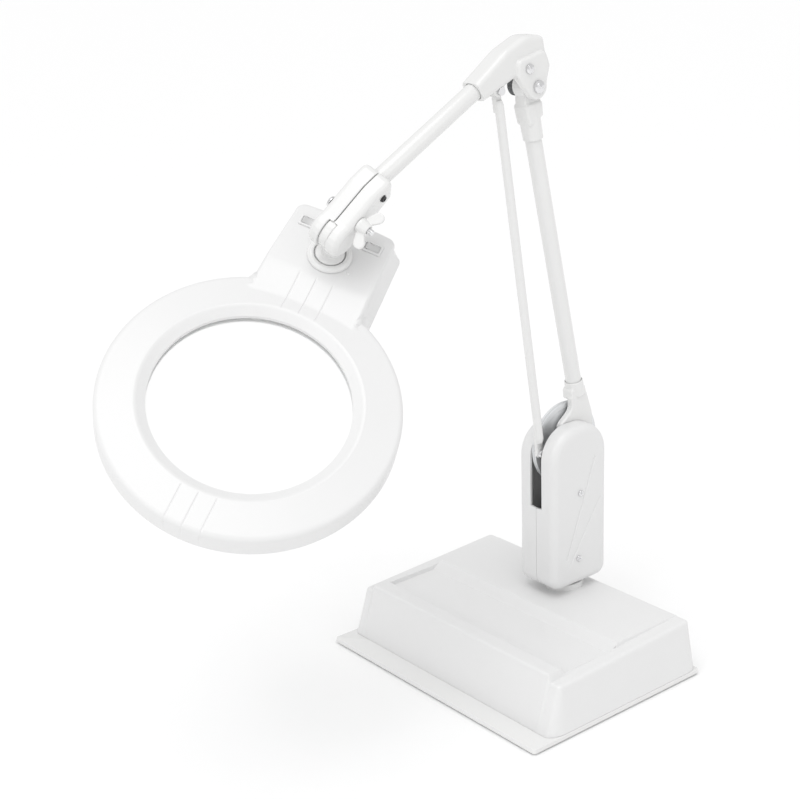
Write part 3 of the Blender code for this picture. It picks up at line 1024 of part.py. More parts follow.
def build_rocker(name, looks, rocker):
    """A rocker key, dished along its length, on an axle across the switch."""
    half = SWITCH_LENGTH / 2 - 2 * MM - 0.6 * MM
    wide = SWITCH_WIDTH / 2 - 2 * MM - GAP
    side_view = [(-half, 1.2 * MM), (-half * 0.75, -2.4 * MM), (half * 0.75, -2.4 * MM), (half, 1.2 * MM),
                 (half - 0.4 * MM, 4.2 * MM), (half * 0.5, 2.9 * MM), (0.0, 2.4 * MM), (-half * 0.5, 2.9 * MM),
                 (0.4 * MM - half, 4.2 * MM)]
    put(name, prism(side_view, -wide, wide, turn=OUTLINE_TO_Y), rocker, looks["plastic"])


def build_head(looks, head):
    """Everything that swivels with the head, and the two rocker keys."""
    centre = (0.0, -RING_CENTRE, 0.0)
    build_head_shell(looks, head, centre)
    build_optics(looks, head, centre)
    build_neck_parts(looks, head)
    for name, side in (("rocker_left", -1), ("rocker_right", 1)):
        axle = joint_frame(f"{name}_axis", head, (side * SWITCH_X, SWITCH_Y, NECK_TOP - 1.8 * MM),
                           (0, ROCKER_TILT, 0))
        build_rocker(name, looks, axle)


# --- assembly -------------------------------------------------------------------------------
def make_looks():
    """Every finish on the lamp."""
    return {
        "enamel": finish("white_enamel", (0.86, 0.86, 0.85), 0.28),
        "plastic": finish("white_plastic", (0.86, 0.86, 0.86), 0.3),
        "rubber": finish("black_rubber", (0.03, 0.03, 0.03), 0.85),
        "iron": finish("grey_iron", (0.12, 0.12, 0.13), 0.6, 0.8),
        "steel": finish("bright_steel", (0.55, 0.55, 0.56), 0.3, 1.0),
        "zinc": finish("zinc_plate", (0.62, 0.63, 0.64), 0.35, 1.0),
        "chrome": finish("chrome_screw", (0.75, 0.75, 0.76), 0.12, 1.0),
        "nylon": finish("grey_nylon", (0.35, 0.35, 0.36), 0.5),
        "grey": finish("grey_plastic", (0.22, 0.23, 0.24), 0.5),
        "black": finish("black_plastic", (0.025, 0.025, 0.028), 0.4),
        "glass": finish("lens_glass", (0.95, 0.97, 0.97), 0.03),
        "reflector": finish("reflector_white", (0.9, 0.9, 0.9), 0.2),
        "lamp": finish("lamp_phosphor", (0.93, 0.94, 0.95), 0.35),
        "cap": finish("white_bakelite", (0.8, 0.8, 0.78), 0.4),
    }


def main():
    """Build the lamp in its resting pose."""
    clear_scene()
    looks = make_looks()
    build_base(looks)
    turret = joint_frame("turret_axis", None, (0, POST_Y, 0))
    build_turret(looks, turret)
    shoulder = joint_frame("shoulder_axis", turret, (0, SHOULDER_Y, SHOULDER_Z), (LEAN, 0, 0))
    build_lower_arm(looks, shoulder)
    crank = joint_frame("crank_axis", shoulder, (0, 0, 0), (-LEAN, 0, 0))
    build_crank(looks, crank)
    elbow = joint_frame("elbow_axis", shoulder, (0, 0, ARM_LENGTH), (RISE - LEAN, 0, 0))
    build_upper_arm(looks, elbow)
    pivot_y, pivot_z = rod_pivot_in_elbow()
    rod = joint_frame("rod_axis", elbow, (0, pivot_y, pivot_z), (LEAN - RISE, 0, 0))
    build_link_rod(looks, rod)
    wrist = joint_frame("wrist_axis", elbow, (0, -WRIST_REACH, UPPER_TUBE_Z), (0, WRIST_ROLL, 0))
    build_clamp(looks, wrist)
    build_wing_nut(looks, joint_frame("wing_axis", wrist, (0, -CLAMP_BOLT_REACH, -CLAMP_BOLT_DROP)))
    knuckle = joint_frame("knuckle_axis", wrist, (0, -KNUCKLE_REACH, -KNUCKLE_DROP), (HEAD_TILT, 0, 0))
    build_stem(looks, knuckle)
    build_head(looks, joint_frame("head_axis", knuckle, (0, 0, -STEM_DROP), (0, 0, HEAD_SWIVEL)))


main()
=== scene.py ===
"""Desk magnifying lamp: the finished look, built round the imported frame.

Every sub-assembly is a class that builds its detailed pieces as numpy surfaces and dresses the plain
solids that stay. All sizes are in metres.
"""
import json
import logging
import math
from dataclasses import dataclass, field
from enum import Enum

import bmesh
import bpy
import numpy as np
from mathutils import Matrix, Vector


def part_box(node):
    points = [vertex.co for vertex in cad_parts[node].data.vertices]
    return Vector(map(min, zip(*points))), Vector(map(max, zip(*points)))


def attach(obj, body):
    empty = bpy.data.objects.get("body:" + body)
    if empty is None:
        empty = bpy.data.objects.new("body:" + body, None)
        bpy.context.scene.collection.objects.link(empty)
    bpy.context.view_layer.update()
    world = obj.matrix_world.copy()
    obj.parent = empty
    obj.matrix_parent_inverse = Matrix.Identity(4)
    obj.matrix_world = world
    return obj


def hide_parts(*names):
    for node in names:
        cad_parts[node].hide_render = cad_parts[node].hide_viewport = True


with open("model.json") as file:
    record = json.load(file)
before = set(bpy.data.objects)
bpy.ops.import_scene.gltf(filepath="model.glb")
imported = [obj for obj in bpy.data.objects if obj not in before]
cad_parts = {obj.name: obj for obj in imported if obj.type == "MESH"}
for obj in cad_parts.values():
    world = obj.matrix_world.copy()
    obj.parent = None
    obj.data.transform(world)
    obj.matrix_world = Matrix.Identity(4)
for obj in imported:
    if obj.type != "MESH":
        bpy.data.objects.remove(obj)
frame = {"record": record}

LOG = logging.getLogger("magnifying_lamp")
MM = 0.001
Array = np.ndarray
MOTTLE_SCALE = 28.0
SCRATCH_SQUEEZE = 0.08
COAT_ROUGHNESS = 0.08
SLOT_EDGE = 0.08 * MM


# --- finishes -------------------------------------------------------------------------------
class Surface(Enum):
    """What a finish's grain looks like."""

    SPRAYED = "orange peel of sprayed enamel"
    MOULDED = "fine spark texture of a moulding"
    TURNED = "fine rings and scratches of bare metal"
    CAST = "coarse pits of a casting"
    SMOOTH = "polished"


class Graph:
    """A new node material, with one call to add a node and one to set or wire its inputs."""

    def __init__(self, name: str) -> None:
        """Make the material and find its shader and its Object coordinates."""
        self.look = bpy.data.materials.new(name)
        self.look.use_nodes = True
        self.shader = self.look.node_tree.nodes["Principled BSDF"]
        self.place = self.add("ShaderNodeTexCoord", "Object", {})

    def feed(self, node: bpy.types.Node, values: dict) -> None:
        """Set a node's inputs by name: a socket is wired in, anything else is a plain value."""
        for name, value in values.items():
            if isinstance(value, bpy.types.NodeSocket):
                self.look.node_tree.links.new(value, node.inputs[name])
            else:
                node.inputs[name].default_value = value

    def add(self, kind: str, output: str, values: dict) -> bpy.types.NodeSocket:
        """Add a node.

        Args:
            kind: The node's type.
            output: The output wanted.
            values: Its inputs, as for feed.

        Returns:
            The output's socket.
        """
        node = self.look.node_tree.nodes.new(kind)
        if kind == "ShaderNodeMix":
            node.data_type = "RGBA"
        self.feed(node, values)
        return node.outputs[output]

    def noise(self, place: bpy.types.NodeSocket, scale: float, detail: float) -> bpy.types.NodeSocket:
        """Add a noise texture.

        Args:
            place: The coordinate socket.
            scale: Cells per metre.
            detail: Octaves.

        Returns:
            The noise value's socket.
        """
        return self.add("ShaderNodeTexNoise", "Fac", {"Scale": scale, "Detail": detail, "Vector": place})

    def spread(self, value: bpy.types.NodeSocket, low: float, high: float) -> bpy.types.NodeSocket:
        """Map a value from nought-to-one onto low-to-high."""
        return self.add("ShaderNodeMapRange", "Result", {"Value": value, "To Min": low, "To Max": high})


@dataclass(frozen=True)
class Finish:
    """One finish: its colour, its gloss and the grain that breaks them up."""

    name: str
    slot: str
    colour: tuple[float, float, float]
    roughness: float
    surface: Surface
    metallic: float = 0.0
    coat: float = 0.0
    mottle: float = 0.02
    grain_size: float = 0.6 * MM
    relief: float = 0.05

    def material(self) -> bpy.types.Material:
        """Build the node material, or hand back the one already built.

        Returns:
            The material, with colour mottling, roughness variation and bump from Object coordinates.
        """
        found = bpy.data.materials.get(self.name)
        if found:
            return found
        graph = Graph(self.name)
        darker = [channel * (1.0 - self.mottle) for channel in self.colour]
        brighter = [min(1.0, channel * (1.0 + self.mottle)) for channel in self.colour]
        tint = graph.add("ShaderNodeMix", "Result", {"A": (*darker, 1.0), "B": (*brighter, 1.0),
                                                     "Factor": graph.noise(graph.place, MOTTLE_SCALE, 3.0)})
        squeeze = SCRATCH_SQUEEZE if self.surface is Surface.TURNED else 1.0
        grain = graph.add("ShaderNodeMapping", "Vector", {"Vector": graph.place,
                                                          "Scale": (1.0, squeeze, 1.0)})
        fine = graph.noise(grain, 1.0 / self.grain_size, 2.0)
        bump = graph.add("ShaderNodeBump", "Normal", {"Height": fine, "Strength": self.relief,
                                                      "Distance": self.grain_size * 0.2})
        graph.feed(graph.shader, {
            "Metallic": self.metallic, "Coat Weight": self.coat, "Coat Roughness": COAT_ROUGHNESS,
            "Base Color": tint, "Normal": bump,
            "Roughness": graph.spread(fine, self.roughness * 0.85, self.roughness * 1.2)})
        return graph.look


@dataclass(frozen=True)
class ClearGlass:
    """Polished lens glass, clear to the eye."""

    name: str = "crown_glass"
    slot: str = "lens_glass"
    tint: tuple[float, float, float] = (0.985, 0.995, 0.99)
    index: float = 1.52
    transmission: float = 0.35
    clearness: float = 0.88

    def material(self) -> bpy.types.Material:
        """Build a nearly clear body with a polished, faintly smeared surface.

        Returns:
            The lens material.
        """
        graph = Graph(self.name)
        smear = graph.noise(graph.place, 22.0, 2.0)
        graph.feed(graph.shader, {
            "Base Color": (*self.tint, 1.0), "IOR": self.index, "Transmission Weight": self.transmission,
            "Alpha": 1.0 - self.clearness, "Roughness": graph.spread(smear, 0.02, 0.06)})
        return graph.look


ENAMEL = Finish("gloss_white_enamel", "white_enamel", (0.77, 0.77, 0.765), 0.24, Surface.SPRAYED,
                coat=0.35, mottle=0.008, grain_size=1.4 * MM)
PLASTIC = Finish("moulded_white_plastic", "white_plastic", (0.76, 0.76, 0.76), 0.34, Surface.MOULDED,
                 coat=0.1, mottle=0.006, grain_size=0.5 * MM, relief=0.06)
RUBBER = Finish("ribbed_black_rubber", "black_rubber", (0.018, 0.018, 0.019), 0.8, Surface.MOULDED,
                mottle=0.2, grain_size=0.9 * MM, relief=0.4)
IRON = Finish("painted_cast_iron", "grey_iron", (0.10, 0.10, 0.11), 0.55, Surface.CAST, metallic=0.5,
              mottle=0.25, grain_size=1.6 * MM, relief=0.5)
STEEL = Finish("drawn_steel", "bright_steel", (0.56, 0.56, 0.57), 0.28, Surface.TURNED, metallic=1.0,
               mottle=0.06, grain_size=0.35 * MM, relief=0.12)
ZINC = Finish("zinc_plated_plate", "zinc_plate", (0.74, 0.75, 0.76), 0.45, Surface.TURNED, metallic=0.55,
              mottle=0.1, grain_size=0.4 * MM, relief=0.1)
CHROME = Finish("bright_chrome", "chrome_screw", (0.78, 0.78, 0.79), 0.12, Surface.TURNED, metallic=1.0,
                mottle=0.03, grain_size=0.5 * MM, relief=0.04)
NYLON = Finish("grey_nylon_washer", "grey_nylon", (0.33, 0.33, 0.34), 0.45, Surface.MOULDED, mottle=0.05)
GREY = Finish("dark_grey_moulding", "grey_plastic", (0.16, 0.165, 0.17), 0.42, Surface.MOULDED, mottle=0.08)
BLACK = Finish("black_moulding", "black_plastic", (0.022, 0.022, 0.024), 0.3, Surface.MOULDED, mottle=0.1,
               relief=0.12)
KEY_WHITE = Finish("moulded_switch_key", "white_plastic", (0.62, 0.62, 0.62), 0.3, Surface.MOULDED,
                   coat=0.2, mottle=0.01, grain_size=0.4 * MM)
MIRROR_WHITE = Finish("reflector_paint", "reflector_white", (0.88, 0.88, 0.88), 0.18, Surface.SPRAYED,
                      coat=0.5)
PHOSPHOR = Finish("lamp_phosphor_coat", "lamp_phosphor", (0.92, 0.93, 0.94), 0.22, Surface.SMOOTH,
                  coat=0.6, mottle=0.01)
BAKELITE = Finish("white_bakelite_cap", "white_bakelite", (0.76, 0.76, 0.73), 0.4, Surface.MOULDED,
                  mottle=0.04)
LENS_GLASS = ClearGlass()


# --- meshes ---------------------------------------------------------------------------------
@dataclass(frozen=True)
class Axes:
    """A local frame: an origin and three unit directions, as rows."""

    origin: Array
    rows: Array

    def place(self, points: Array) -> Array:
        """World points: the origin plus each coordinate along its direction."""
        return self.origin + points @ self.rows


TURNED_TO_X = np.array([[0.0, 1.0, 0.0], [0.0, 0.0, 1.0], [1.0, 0.0, 0.0]])


def joint(name: str) -> dict:
    """The record's joint of that name."""
    return next(j for j in frame["record"]["behaviour"]["joints"] if j["name"] == name)


def box(node: str) -> tuple[Array, Array, Array]:
    """A CAD node's lowest corner, its highest corner and its middle."""
    low, high = (np.array(corner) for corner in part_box(node))
    return low, high, (low + high) / 2


def unit(vector: Array) -> Array:
    """The vector at length one."""
    vector = np.asarray(vector, float)
    return vector / np.linalg.norm(vector)


def joint_axes(z_from: str, y_from: str) -> Axes:
    """A right-handed frame at a joint, its directions taken from two joints' axes.

    Args:
        z_from: The joint at the origin, whose axis is Z.
        y_from: The joint whose axis is Y.

    Returns:
        The frame.
    """
    y, z = unit(joint(y_from)["axis"]), unit(joint(z_from)["axis"])
    return Axes(np.array(joint(z_from)["pos_m"], float), np.array([unit(np.cross(y, z)), y, z]))


def node_points(node: str) -> Array:
    """A CAD node's corner points in world space."""
    mesh = bpy.data.objects[node].data
    points = np.empty(len(mesh.vertices) * 3)
    mesh.vertices.foreach_get("co", points)
    return points.reshape(-1, 3)


def bar_axes(node: str, along: Array | None = None) -> tuple[Axes, float]:
    """The frame of a round bar: Z along it, from the middle of its ends.

    Args:
        node: The CAD node.
        along: Its direction, or None for the direction in which its points spread furthest.

    Returns:
        The frame and half the bar's length.
    """
    points = node_points(node)
    if along is None:
        along = np.linalg.svd(points - points.mean(0), full_matrices=False)[2][0]
        along = along * (1.0 if along[2] >= 0 else -1.0)
    axis = unit(along)
    steep = abs(axis[2]) >= 0.9
    side = unit(np.cross([1.0, 0.0, 0.0], axis) if steep else np.cross(axis, [0.0, 0.0, 1.0]))
    rows = np.array([side, np.cross(axis, side), axis])
    local = points @ rows.T
    low, high = local.min(0), local.max(0)
    return Axes((high + low) / 2 @ rows, rows), float((high - low)[2] / 2)


def surface(name: str, grid: Array, wrap_rows: bool = False, cap: bool = True) -> bpy.types.Object:
    """Make a closed object of a grid of points whose columns wrap round.

    Args:
        name: The object's name.
        grid: Points of shape (rows, columns, 3).
        wrap_rows: Whether the last row joins the first, as on a ring.
        cap: Whether the first and last rows are closed by a fan about their middle.

    Returns:
        The object, its doubles merged and its faces pointing outwards.
    """
    rows, columns = grid.shape[:2]
    index = np.arange(rows * columns).reshape(rows, columns)
    below = index if wrap_rows else index[:-1]
    above = np.roll(index, -1, axis=0) if wrap_rows else index[1:]
    quads = np.stack([below, np.roll(below, -1, 1), np.roll(above, -1, 1), above], axis=-1)
    points = grid.reshape(-1, 3)
    faces = quads.reshape(-1, 4).tolist()
    if cap and not wrap_rows:
        hubs = np.array([grid[0].mean(0), grid[-1].mean(0)])
        points = np.vstack([points, hubs])
        first, last = rows * columns, rows * columns + 1
        ring = np.arange(columns)
        after = np.roll(ring, -1)
        start = np.stack([np.full(columns, first), after, ring], axis=-1)
        end = np.stack([np.full(columns, last), index[-1, 0] + ring, index[-1, 0] + after], axis=-1)
        faces += np.vstack([start, end]).tolist()
    mesh = bpy.data.meshes.new(name)
    mesh.from_pydata(points.tolist(), [], faces)
    return finished(name, mesh)


def lidded(name: str, top: Array, rings: Array, crease: float = 38.0) -> bpy.types.Object:
    """Make one closed object of a grid of points and the rings that carry its boundary on.

    Args:
        name: The object's name.
        top: The grid, of shape (nx, ny, 3).
        rings: The rings, the first on the grid's boundary; a fan closes the last.
        crease: The angle in degrees past which an edge stays sharp.

    Returns:
        The object.
    """
    (nx, ny), (rows, columns) = top.shape[:2], rings.shape[:2]
    index = np.arange(nx * ny).reshape(nx, ny)
    quads = np.stack([index[:-1, :-1], index[1:, :-1], index[1:, 1:], index[:-1, 1:]], axis=-1)
    ring = np.arange(rows * columns).reshape(rows, columns) + nx * ny
    around = np.stack([ring[:-1], ring[1:], np.roll(ring[1:], -1, 1), np.roll(ring[:-1], -1, 1)], axis=-1)
    hub = nx * ny + rows * columns
    fan = np.stack([ring[-1], np.roll(ring[-1], -1), np.full(columns, hub)], axis=-1)
    points = np.vstack([top.reshape(-1, 3), rings.reshape(-1, 3), rings[-1].mean(0)[None]])
    faces = quads.reshape(-1, 4).tolist() + around.reshape(-1, 4).tolist() + fan.tolist()
    mesh = bpy.data.meshes.new(name)
    mesh.from_pydata(points.tolist(), [], faces)
    return finished(name, mesh, crease)


def finished(name: str, mesh: bpy.types.Mesh, crease: float = 38.0) -> bpy.types.Object:
    """Clean a mesh, shade it and put it in the scene at the origin.

    Args:
        name: The object's name.
        mesh: The raw mesh.
        crease: The angle in degrees past which an edge stays sharp.

    Returns:
        The object.
    """
    work = bmesh.new()
    work.from_mesh(mesh)
    bmesh.ops.remove_doubles(work, verts=work.verts, dist=2e-6)
    bmesh.ops.dissolve_degenerate(work, edges=work.edges, dist=1e-6)
    bmesh.ops.recalc_face_normals(work, faces=work.faces)
    work.to_mesh(mesh)
    work.free()
    mesh.shade_smooth()
    mesh.set_sharp_from_angle(angle=math.radians(crease))
    thing = bpy.data.objects.new(name, mesh)
    bpy.context.scene.collection.objects.link(thing)
    return thing


def revolved(name: str, profile: Array, axes: Axes, steps: int = 96, ring: bool = False) -> bpy.types.Object:
    """Turn a profile of (radius, height) about a frame's Z: x = r cos a, y = r sin a, z = h.

    Args:
        name: The object's name.
        profile: Points of shape (n, 2).
        axes: The frame it is turned in.
        steps: Sides of the turned shape.
        ring: Whether the profile is a closed loop.

    Returns:
        The object.
    """
    angle = np.linspace(0, 2 * np.pi, steps, endpoint=False)
    radius, height = profile[:, :1], profile[:, 1:]
    grid = np.stack([radius * np.cos(angle), radius * np.sin(angle), height + 0 * angle], axis=-1)
    return surface(name, axes.place(grid), wrap_rows=ring)


def soft_corners(points: list | Array, radius: float, steps: int) -> Array:
    """A closed polyline with every corner rounded by a quadratic curve that starts a radius from it.

    Args:
        points: The corners.
        radius: How far from a corner the curve starts, at most 0.45 of either side.
        steps: Points on each curve.

    Returns:
        The rounded line's points.
    """
    corners = np.array(points, float)
    share = np.linspace(0, 1, steps + 1)[:, None]
    line = []
    for index, here in enumerate(corners):
        back, ahead = corners[index - 1] - here, corners[(index + 1) % len(corners)] - here
        reach_back = min(radius, 0.45 * np.linalg.norm(back))
        reach_ahead = min(radius, 0.45 * np.linalg.norm(ahead))
        start, end = here + unit(back) * reach_back, here + unit(ahead) * reach_ahead
        line.append((1 - share) ** 2 * start + 2 * share * (1 - share) * here + share ** 2 * end)
    return np.vstack(line)


def rounded_rectangle(middle: Array, core: Array, reach: float, level: float, steps: int) -> Array:
    """A rounded rectangle's points at a level.

    Args:
        middle: Its middle.
        core: Half its length and width, less the corners' radius.
        reach: The corners' radius.
        level: Its height.
        steps: Points on each corner.

    Returns:
        Points of shape (4 * steps, 3).
    """
    angle = np.concatenate([np.radians(np.linspace(0, 90, steps) + 90 * turn) for turn in range(4)])
    signs = np.repeat([[1, 1], [-1, 1], [-1, -1], [1, -1]], steps, axis=0)
    spot = middle + signs * core + reach * np.stack([np.cos(angle), np.sin(angle)], axis=-1)
    return np.column_stack([spot, np.full(4 * steps, level)])


def turned_ring(name: str, outline: list | Array, soft: float, axes: Axes, steps: int = 96,
                bend: int = 4) -> bpy.types.Object:
    """Turn a closed outline with softened corners.

    Args:
        name: The object's name.
        outline: The corners (radius, height).
        soft: How far from a corner its curve starts.
        axes: The frame it is turned in.
        steps: Sides of the turned shape.
        bend: Points on each corner's curve.

    Returns:
        The object.
    """
    return revolved(name, soft_corners(outline, soft, bend), axes, steps, ring=True)


def sweep(name: str, path: Array, radius: float | Array, sides: int = 20) -> bpy.types.Object:
    """Carry a circle along a path, its frame turned the least amount from point to point.

    Args:
        name: The object's name.
        path: Points of shape (n, 3).
        radius: One radius, or one for each point.
        sides: Sides of the section.

    Returns:
        The object, capped at both ends.
    """
    tangent = np.gradient(path, axis=0)
    tangent /= np.linalg.norm(tangent, axis=1, keepdims=True)
    normal = np.empty_like(path)
    normal[0] = Vector(tangent[0]).orthogonal().normalized()
    for index in range(1, len(path)):
        turned = normal[index - 1] - tangent[index] * (normal[index - 1] @ tangent[index])
        normal[index] = unit(turned)
    side = np.cross(tangent, normal)
    angle = np.linspace(0, 2 * np.pi, sides, endpoint=False)
    reach = np.broadcast_to(np.asarray(radius, float).reshape(-1, 1, 1), (len(path), 1, 1))
    section = normal[:, None] * np.cos(angle)[None, :, None] + side[:, None] * np.sin(angle)[None, :, None]
    return surface(name, path[:, None] + section * reach)


def soft_step(distance: Array, edge: float, width: float) -> Array:
    """One well inside the edge, nought well outside, with a soft step between."""
    return 1 / (1 + np.exp(np.clip((distance - edge) / width, -40, 40)))


def smooth_min(a: Array, b: Array, width: float) -> Array:
    """The lower of two heights, blended where they differ by less than the width."""
    share = np.clip(0.5 + 0.5 * (b - a) / width, 0, 1)
    return b * (1 - share) + a * share - width * share * (1 - share) / 2


def smooth_max(a: Array, b: Array, width: float) -> Array:
    """The higher of two heights, blended where they differ by less than the width."""
    return -smooth_min(-a, -b, width)


def dress(finish: Finish, *nodes: str) -> None:
    """Give CAD nodes that stay their finish."""
    for node in nodes:
        mesh = bpy.data.objects[node].data
        mesh.materials.clear()
        mesh.materials.append(finish.material())
        LOG.info("dressed %s in %s", node, finish.name)


def fit(piece: bpy.types.Object, body: str, finish: Finish | ClearGlass, *nodes: str) -> bpy.types.Object:
    """Finish a new piece, hang it on its body and let it stand for CAD nodes.

    Args:
        piece: The new piece.
        body: The body it rides on.
        finish: Its finish.
        nodes: The CAD nodes it replaces.

    Returns:
        The piece.
    """
    piece.data.materials.clear()
    piece.data.materials.append(finish.material())
    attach(piece, body)
    if nodes:
        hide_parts(*nodes)
    LOG.info("built %s on %s: %d faces", piece.name, body, len(piece.data.polygons))
    return piece


@dataclass
class Casting:
    """A fused casting: the plain solid remeshed finely, so its edges round over and its joints fillet."""

    node: str
    body: str
    finish: Finish
    cell: float
    passes: int

    def build(self) -> bpy.types.Object:
        """Remesh a merged copy of the node in even cells and relax it.

        Returns:
            The piece that stands for the node.
        """
        work = bmesh.new()
        work.from_mesh(bpy.data.objects[self.node].data)
        bmesh.ops.remove_doubles(work, verts=work.verts, dist=1e-6)
        mesh = bpy.data.meshes.new(f"{self.node}_raw")
        work.to_mesh(mesh)
        work.free()
        raw = bpy.data.objects.new(f"{self.node}_raw", mesh)
        bpy.context.scene.collection.objects.link(raw)
        remesh = raw.modifiers.new("cells", "REMESH")
        remesh.mode = "VOXEL"
        remesh.voxel_size = self.cell
        relax = raw.modifiers.new("relax", "SMOOTH")
        relax.factor = 0.5
        relax.iterations = self.passes
        seen = raw.evaluated_get(bpy.context.evaluated_depsgraph_get())
        shape = bpy.data.meshes.new_from_object(seen)
        shape.name = f"{self.node}_casting"
        bpy.data.objects.remove(raw, do_unlink=True)
        piece = finished(f"{self.node}_casting", shape, crease=60.0)
        return fit(piece, self.body, self.finish, self.node)


@dataclass
class CrossHeadScrew:
    """A screw with a domed head and a cross recess; its plain CAD shank stays under it."""

    node: str
    body: str
    radius: float
    height: float
    finish: Finish = CHROME
    slot_half: float = 0.55 * MM
    slot_reach: float = 0.62
    proud: float = 0.0

    def build(self) -> bpy.types.Object:
        """Model the head as a height over a polar grid: a dome less a cross-shaped dip.

        Returns:
            The head, which sits on the shank's +X end.
        """
        _, high, middle = box(self.node)
        seat = high[0] - self.height + self.proud
        ring = np.linspace(0.02, 1, 26)[:, None] * self.radius
        angle = np.linspace(0, 2 * np.pi, 96, endpoint=False)[None]
        y, z = ring * np.cos(angle), ring * np.sin(angle)
        dome = self.height * np.sqrt(np.clip(1 - (ring / (self.radius * 1.12)) ** 2, 0, 1)) + 0 * angle
        arm = self.radius * self.slot_reach
        along_y, along_z = ((soft_step(np.abs(one), self.slot_half, SLOT_EDGE) *
                             soft_step(np.abs(other), arm, SLOT_EDGE)) for one, other in ((z, y), (y, z)))
        cross = np.maximum(along_y, along_z)
        x = dome - cross * self.height * 0.6
        top = np.stack([x, y, z], axis=-1)
        skirt = np.stack([0 * y[-1] - 0.1 * MM, y[-1], z[-1]], axis=-1)[None]
        grid = np.vstack([top, skirt]) + np.array([seat, middle[1], middle[2]])
        return fit(surface(f"{self.node}_head", grid), self.body, self.finish)


# --- base -----------------------------------------------------------------------------------
@dataclass
class Base:
    """Foot pad, plate, moulded cover with its pen tray and platform, and the fixed post."""

    body: str = "base"
    rim_band: float = 5.0 * MM
    wall: float = 2.5 * MM
    tray_floor: float = 53.2 * MM
    tray_front_rim: float = 20.0 * MM
    tray_side_rim: float = 15.0 * MM
    tray_back: float = 7.0 * MM
    slope: float = 10.0 * MM
    platform: float = 61.8 * MM
    platform_side: float = 15.5 * MM
    platform_back: float = 4.0 * MM
    top_front: float = 54.5 * MM
    top_back: float = 61.5 * MM
    flank: float = 2.6
    tray_wall: float = 4.0
    drafts: tuple[float, float, float] = (5.1 * MM, 15.2 * MM, 9.0 * MM)

    def build(self) -> None:
        """Build and dress every piece of the base."""
        self.cover()
        self.slab("base_plate", 3.0 * MM, 0.9 * MM, ENAMEL)
        self.slab("base_pad", 3.0 * MM, 0.3 * MM, RUBBER)
        self.post()
        self.gland()
        dress(IRON, "base_weight")
        dress(NYLON, "thrust_washer")
        dress(BLACK, "gland_nut")

    def height(self, x: Array, y: Array, half: float, front: float, back: float) -> Array:
        """The cover's top: the sloping rim or the raised platform, whichever is higher, less the tray.

        Args:
            x: Positions along the base.
            y: Positions across it.
            half: Half the top's width.
            front: The top's front edge.
            back: The top's back edge.

        Returns:
            The height at every position.
        """
        rim = self.top_front + (self.top_back - self.top_front) * (y - front) / (back - front)
        beyond = np.maximum(np.abs(x) - (half - self.platform_side), 0)
        beyond = beyond + np.maximum(y - back + self.platform_back, 0)
        raised = smooth_max(rim, self.platform - self.flank * beyond, 0.5 * MM)
        rise = (self.platform - self.tray_floor) / self.slope
        outside = np.maximum(np.abs(x) - (half - self.tray_side_rim), 0)
        outside = outside + np.maximum(front + self.tray_front_rim - y, 0)
        ramp = smooth_max(0 * y, (y - self.tray_back) * rise, 0.5 * MM)
        tray = self.tray_floor + ramp + outside * self.tray_wall
        return smooth_min(raised, tray, 0.7 * MM)

    def cover(self) -> None:
        """The cover: a height field inside the rim, carried over its edge and down the drafted walls."""
        low, high, _ = box("base_cover")
        side, front_draft, back_draft = self.drafts
        half, front, back = high[0] - side, low[1] + front_draft, high[1] - back_draft
        band = self.rim_band
        xs = self.lines(-half + band, half - band, [s * (half - self.tray_side_rim) for s in (-1, 1)])
        marks = [front + self.tray_front_rim, self.tray_back, self.tray_back + self.slope,
                 back - self.platform_back - 1 * MM]
        ys = self.lines(front + band, back - band, marks)
        x, y = np.meshgrid(xs, ys, indexing="ij")
        top = np.stack([x, y, self.height(x, y, half, front, back)], axis=-1)
        loop, turn = self.boundary(top)
        edge = 3.5 * MM
        rows = []
        for angle in np.linspace(0, math.pi / 2, 7):
            rows.append((band - edge * (1 - math.sin(angle)), edge * (1 - math.cos(angle)), 0.0))
        rows += [(band, edge, share) for share in (0.06, 0.3, 0.65, 1.0)]
        rows += [(band - self.wall, edge, share) for share in (1.0, 0.5, 0.08)]
        skirt = np.array([loop] + [self.wall_row(loop, turn, *row, low[2]) for row in rows])
        fit(lidded("base_cover_moulding", top, skirt, 50.0), self.body, PLASTIC, "base_cover")

    def wall_row(self, loop: Array, turn: Array, out: float, drop: float, share: float, foot: float) -> Array:
        """One ring of the wall: the top's boundary moved outwards, lowered, and drafted further out.

        Args:
            loop: The top's boundary points.
            turn: Their outward directions.
            out: How far outwards.
            drop: How far down from the boundary.
            share: How much of the remaining way down to the foot, 0 to 1.
            foot: The foot's height.

        Returns:
            The ring's points.
        """
        side, front_draft, back_draft = self.drafts
        spread_y = np.where(turn[:, 1] < 0, front_draft, back_draft)
        ring = loop.copy()
        ring[:, 0] += turn[:, 0] * (out + side * share)
        ring[:, 1] += turn[:, 1] * (out + spread_y * share)
        start = loop[:, 2] - drop
        ring[:, 2] = start + (foot - start) * share
        return ring

    @staticmethod
    def lines(low: float, high: float, marks: list[float]) -> Array:
        """Grid lines: an even spread, with close ones about each mark.

        Args:
            low: The first line.
            high: The last line.
            marks: Where the surface bends.

        Returns:
            The sorted lines.
        """
        near = np.array([-2.4, -1.6, -1.0, -0.6, -0.3, 0.0, 0.3, 0.6, 1.0, 1.6, 2.4]) * MM
        lines = np.concatenate([np.linspace(low, high, 41)] + [mark + near for mark in marks])
        lines = np.sort(lines[(lines >= low) & (lines <= high)])
        return lines[np.concatenate([[True], np.diff(lines) > 0.12 * MM])]

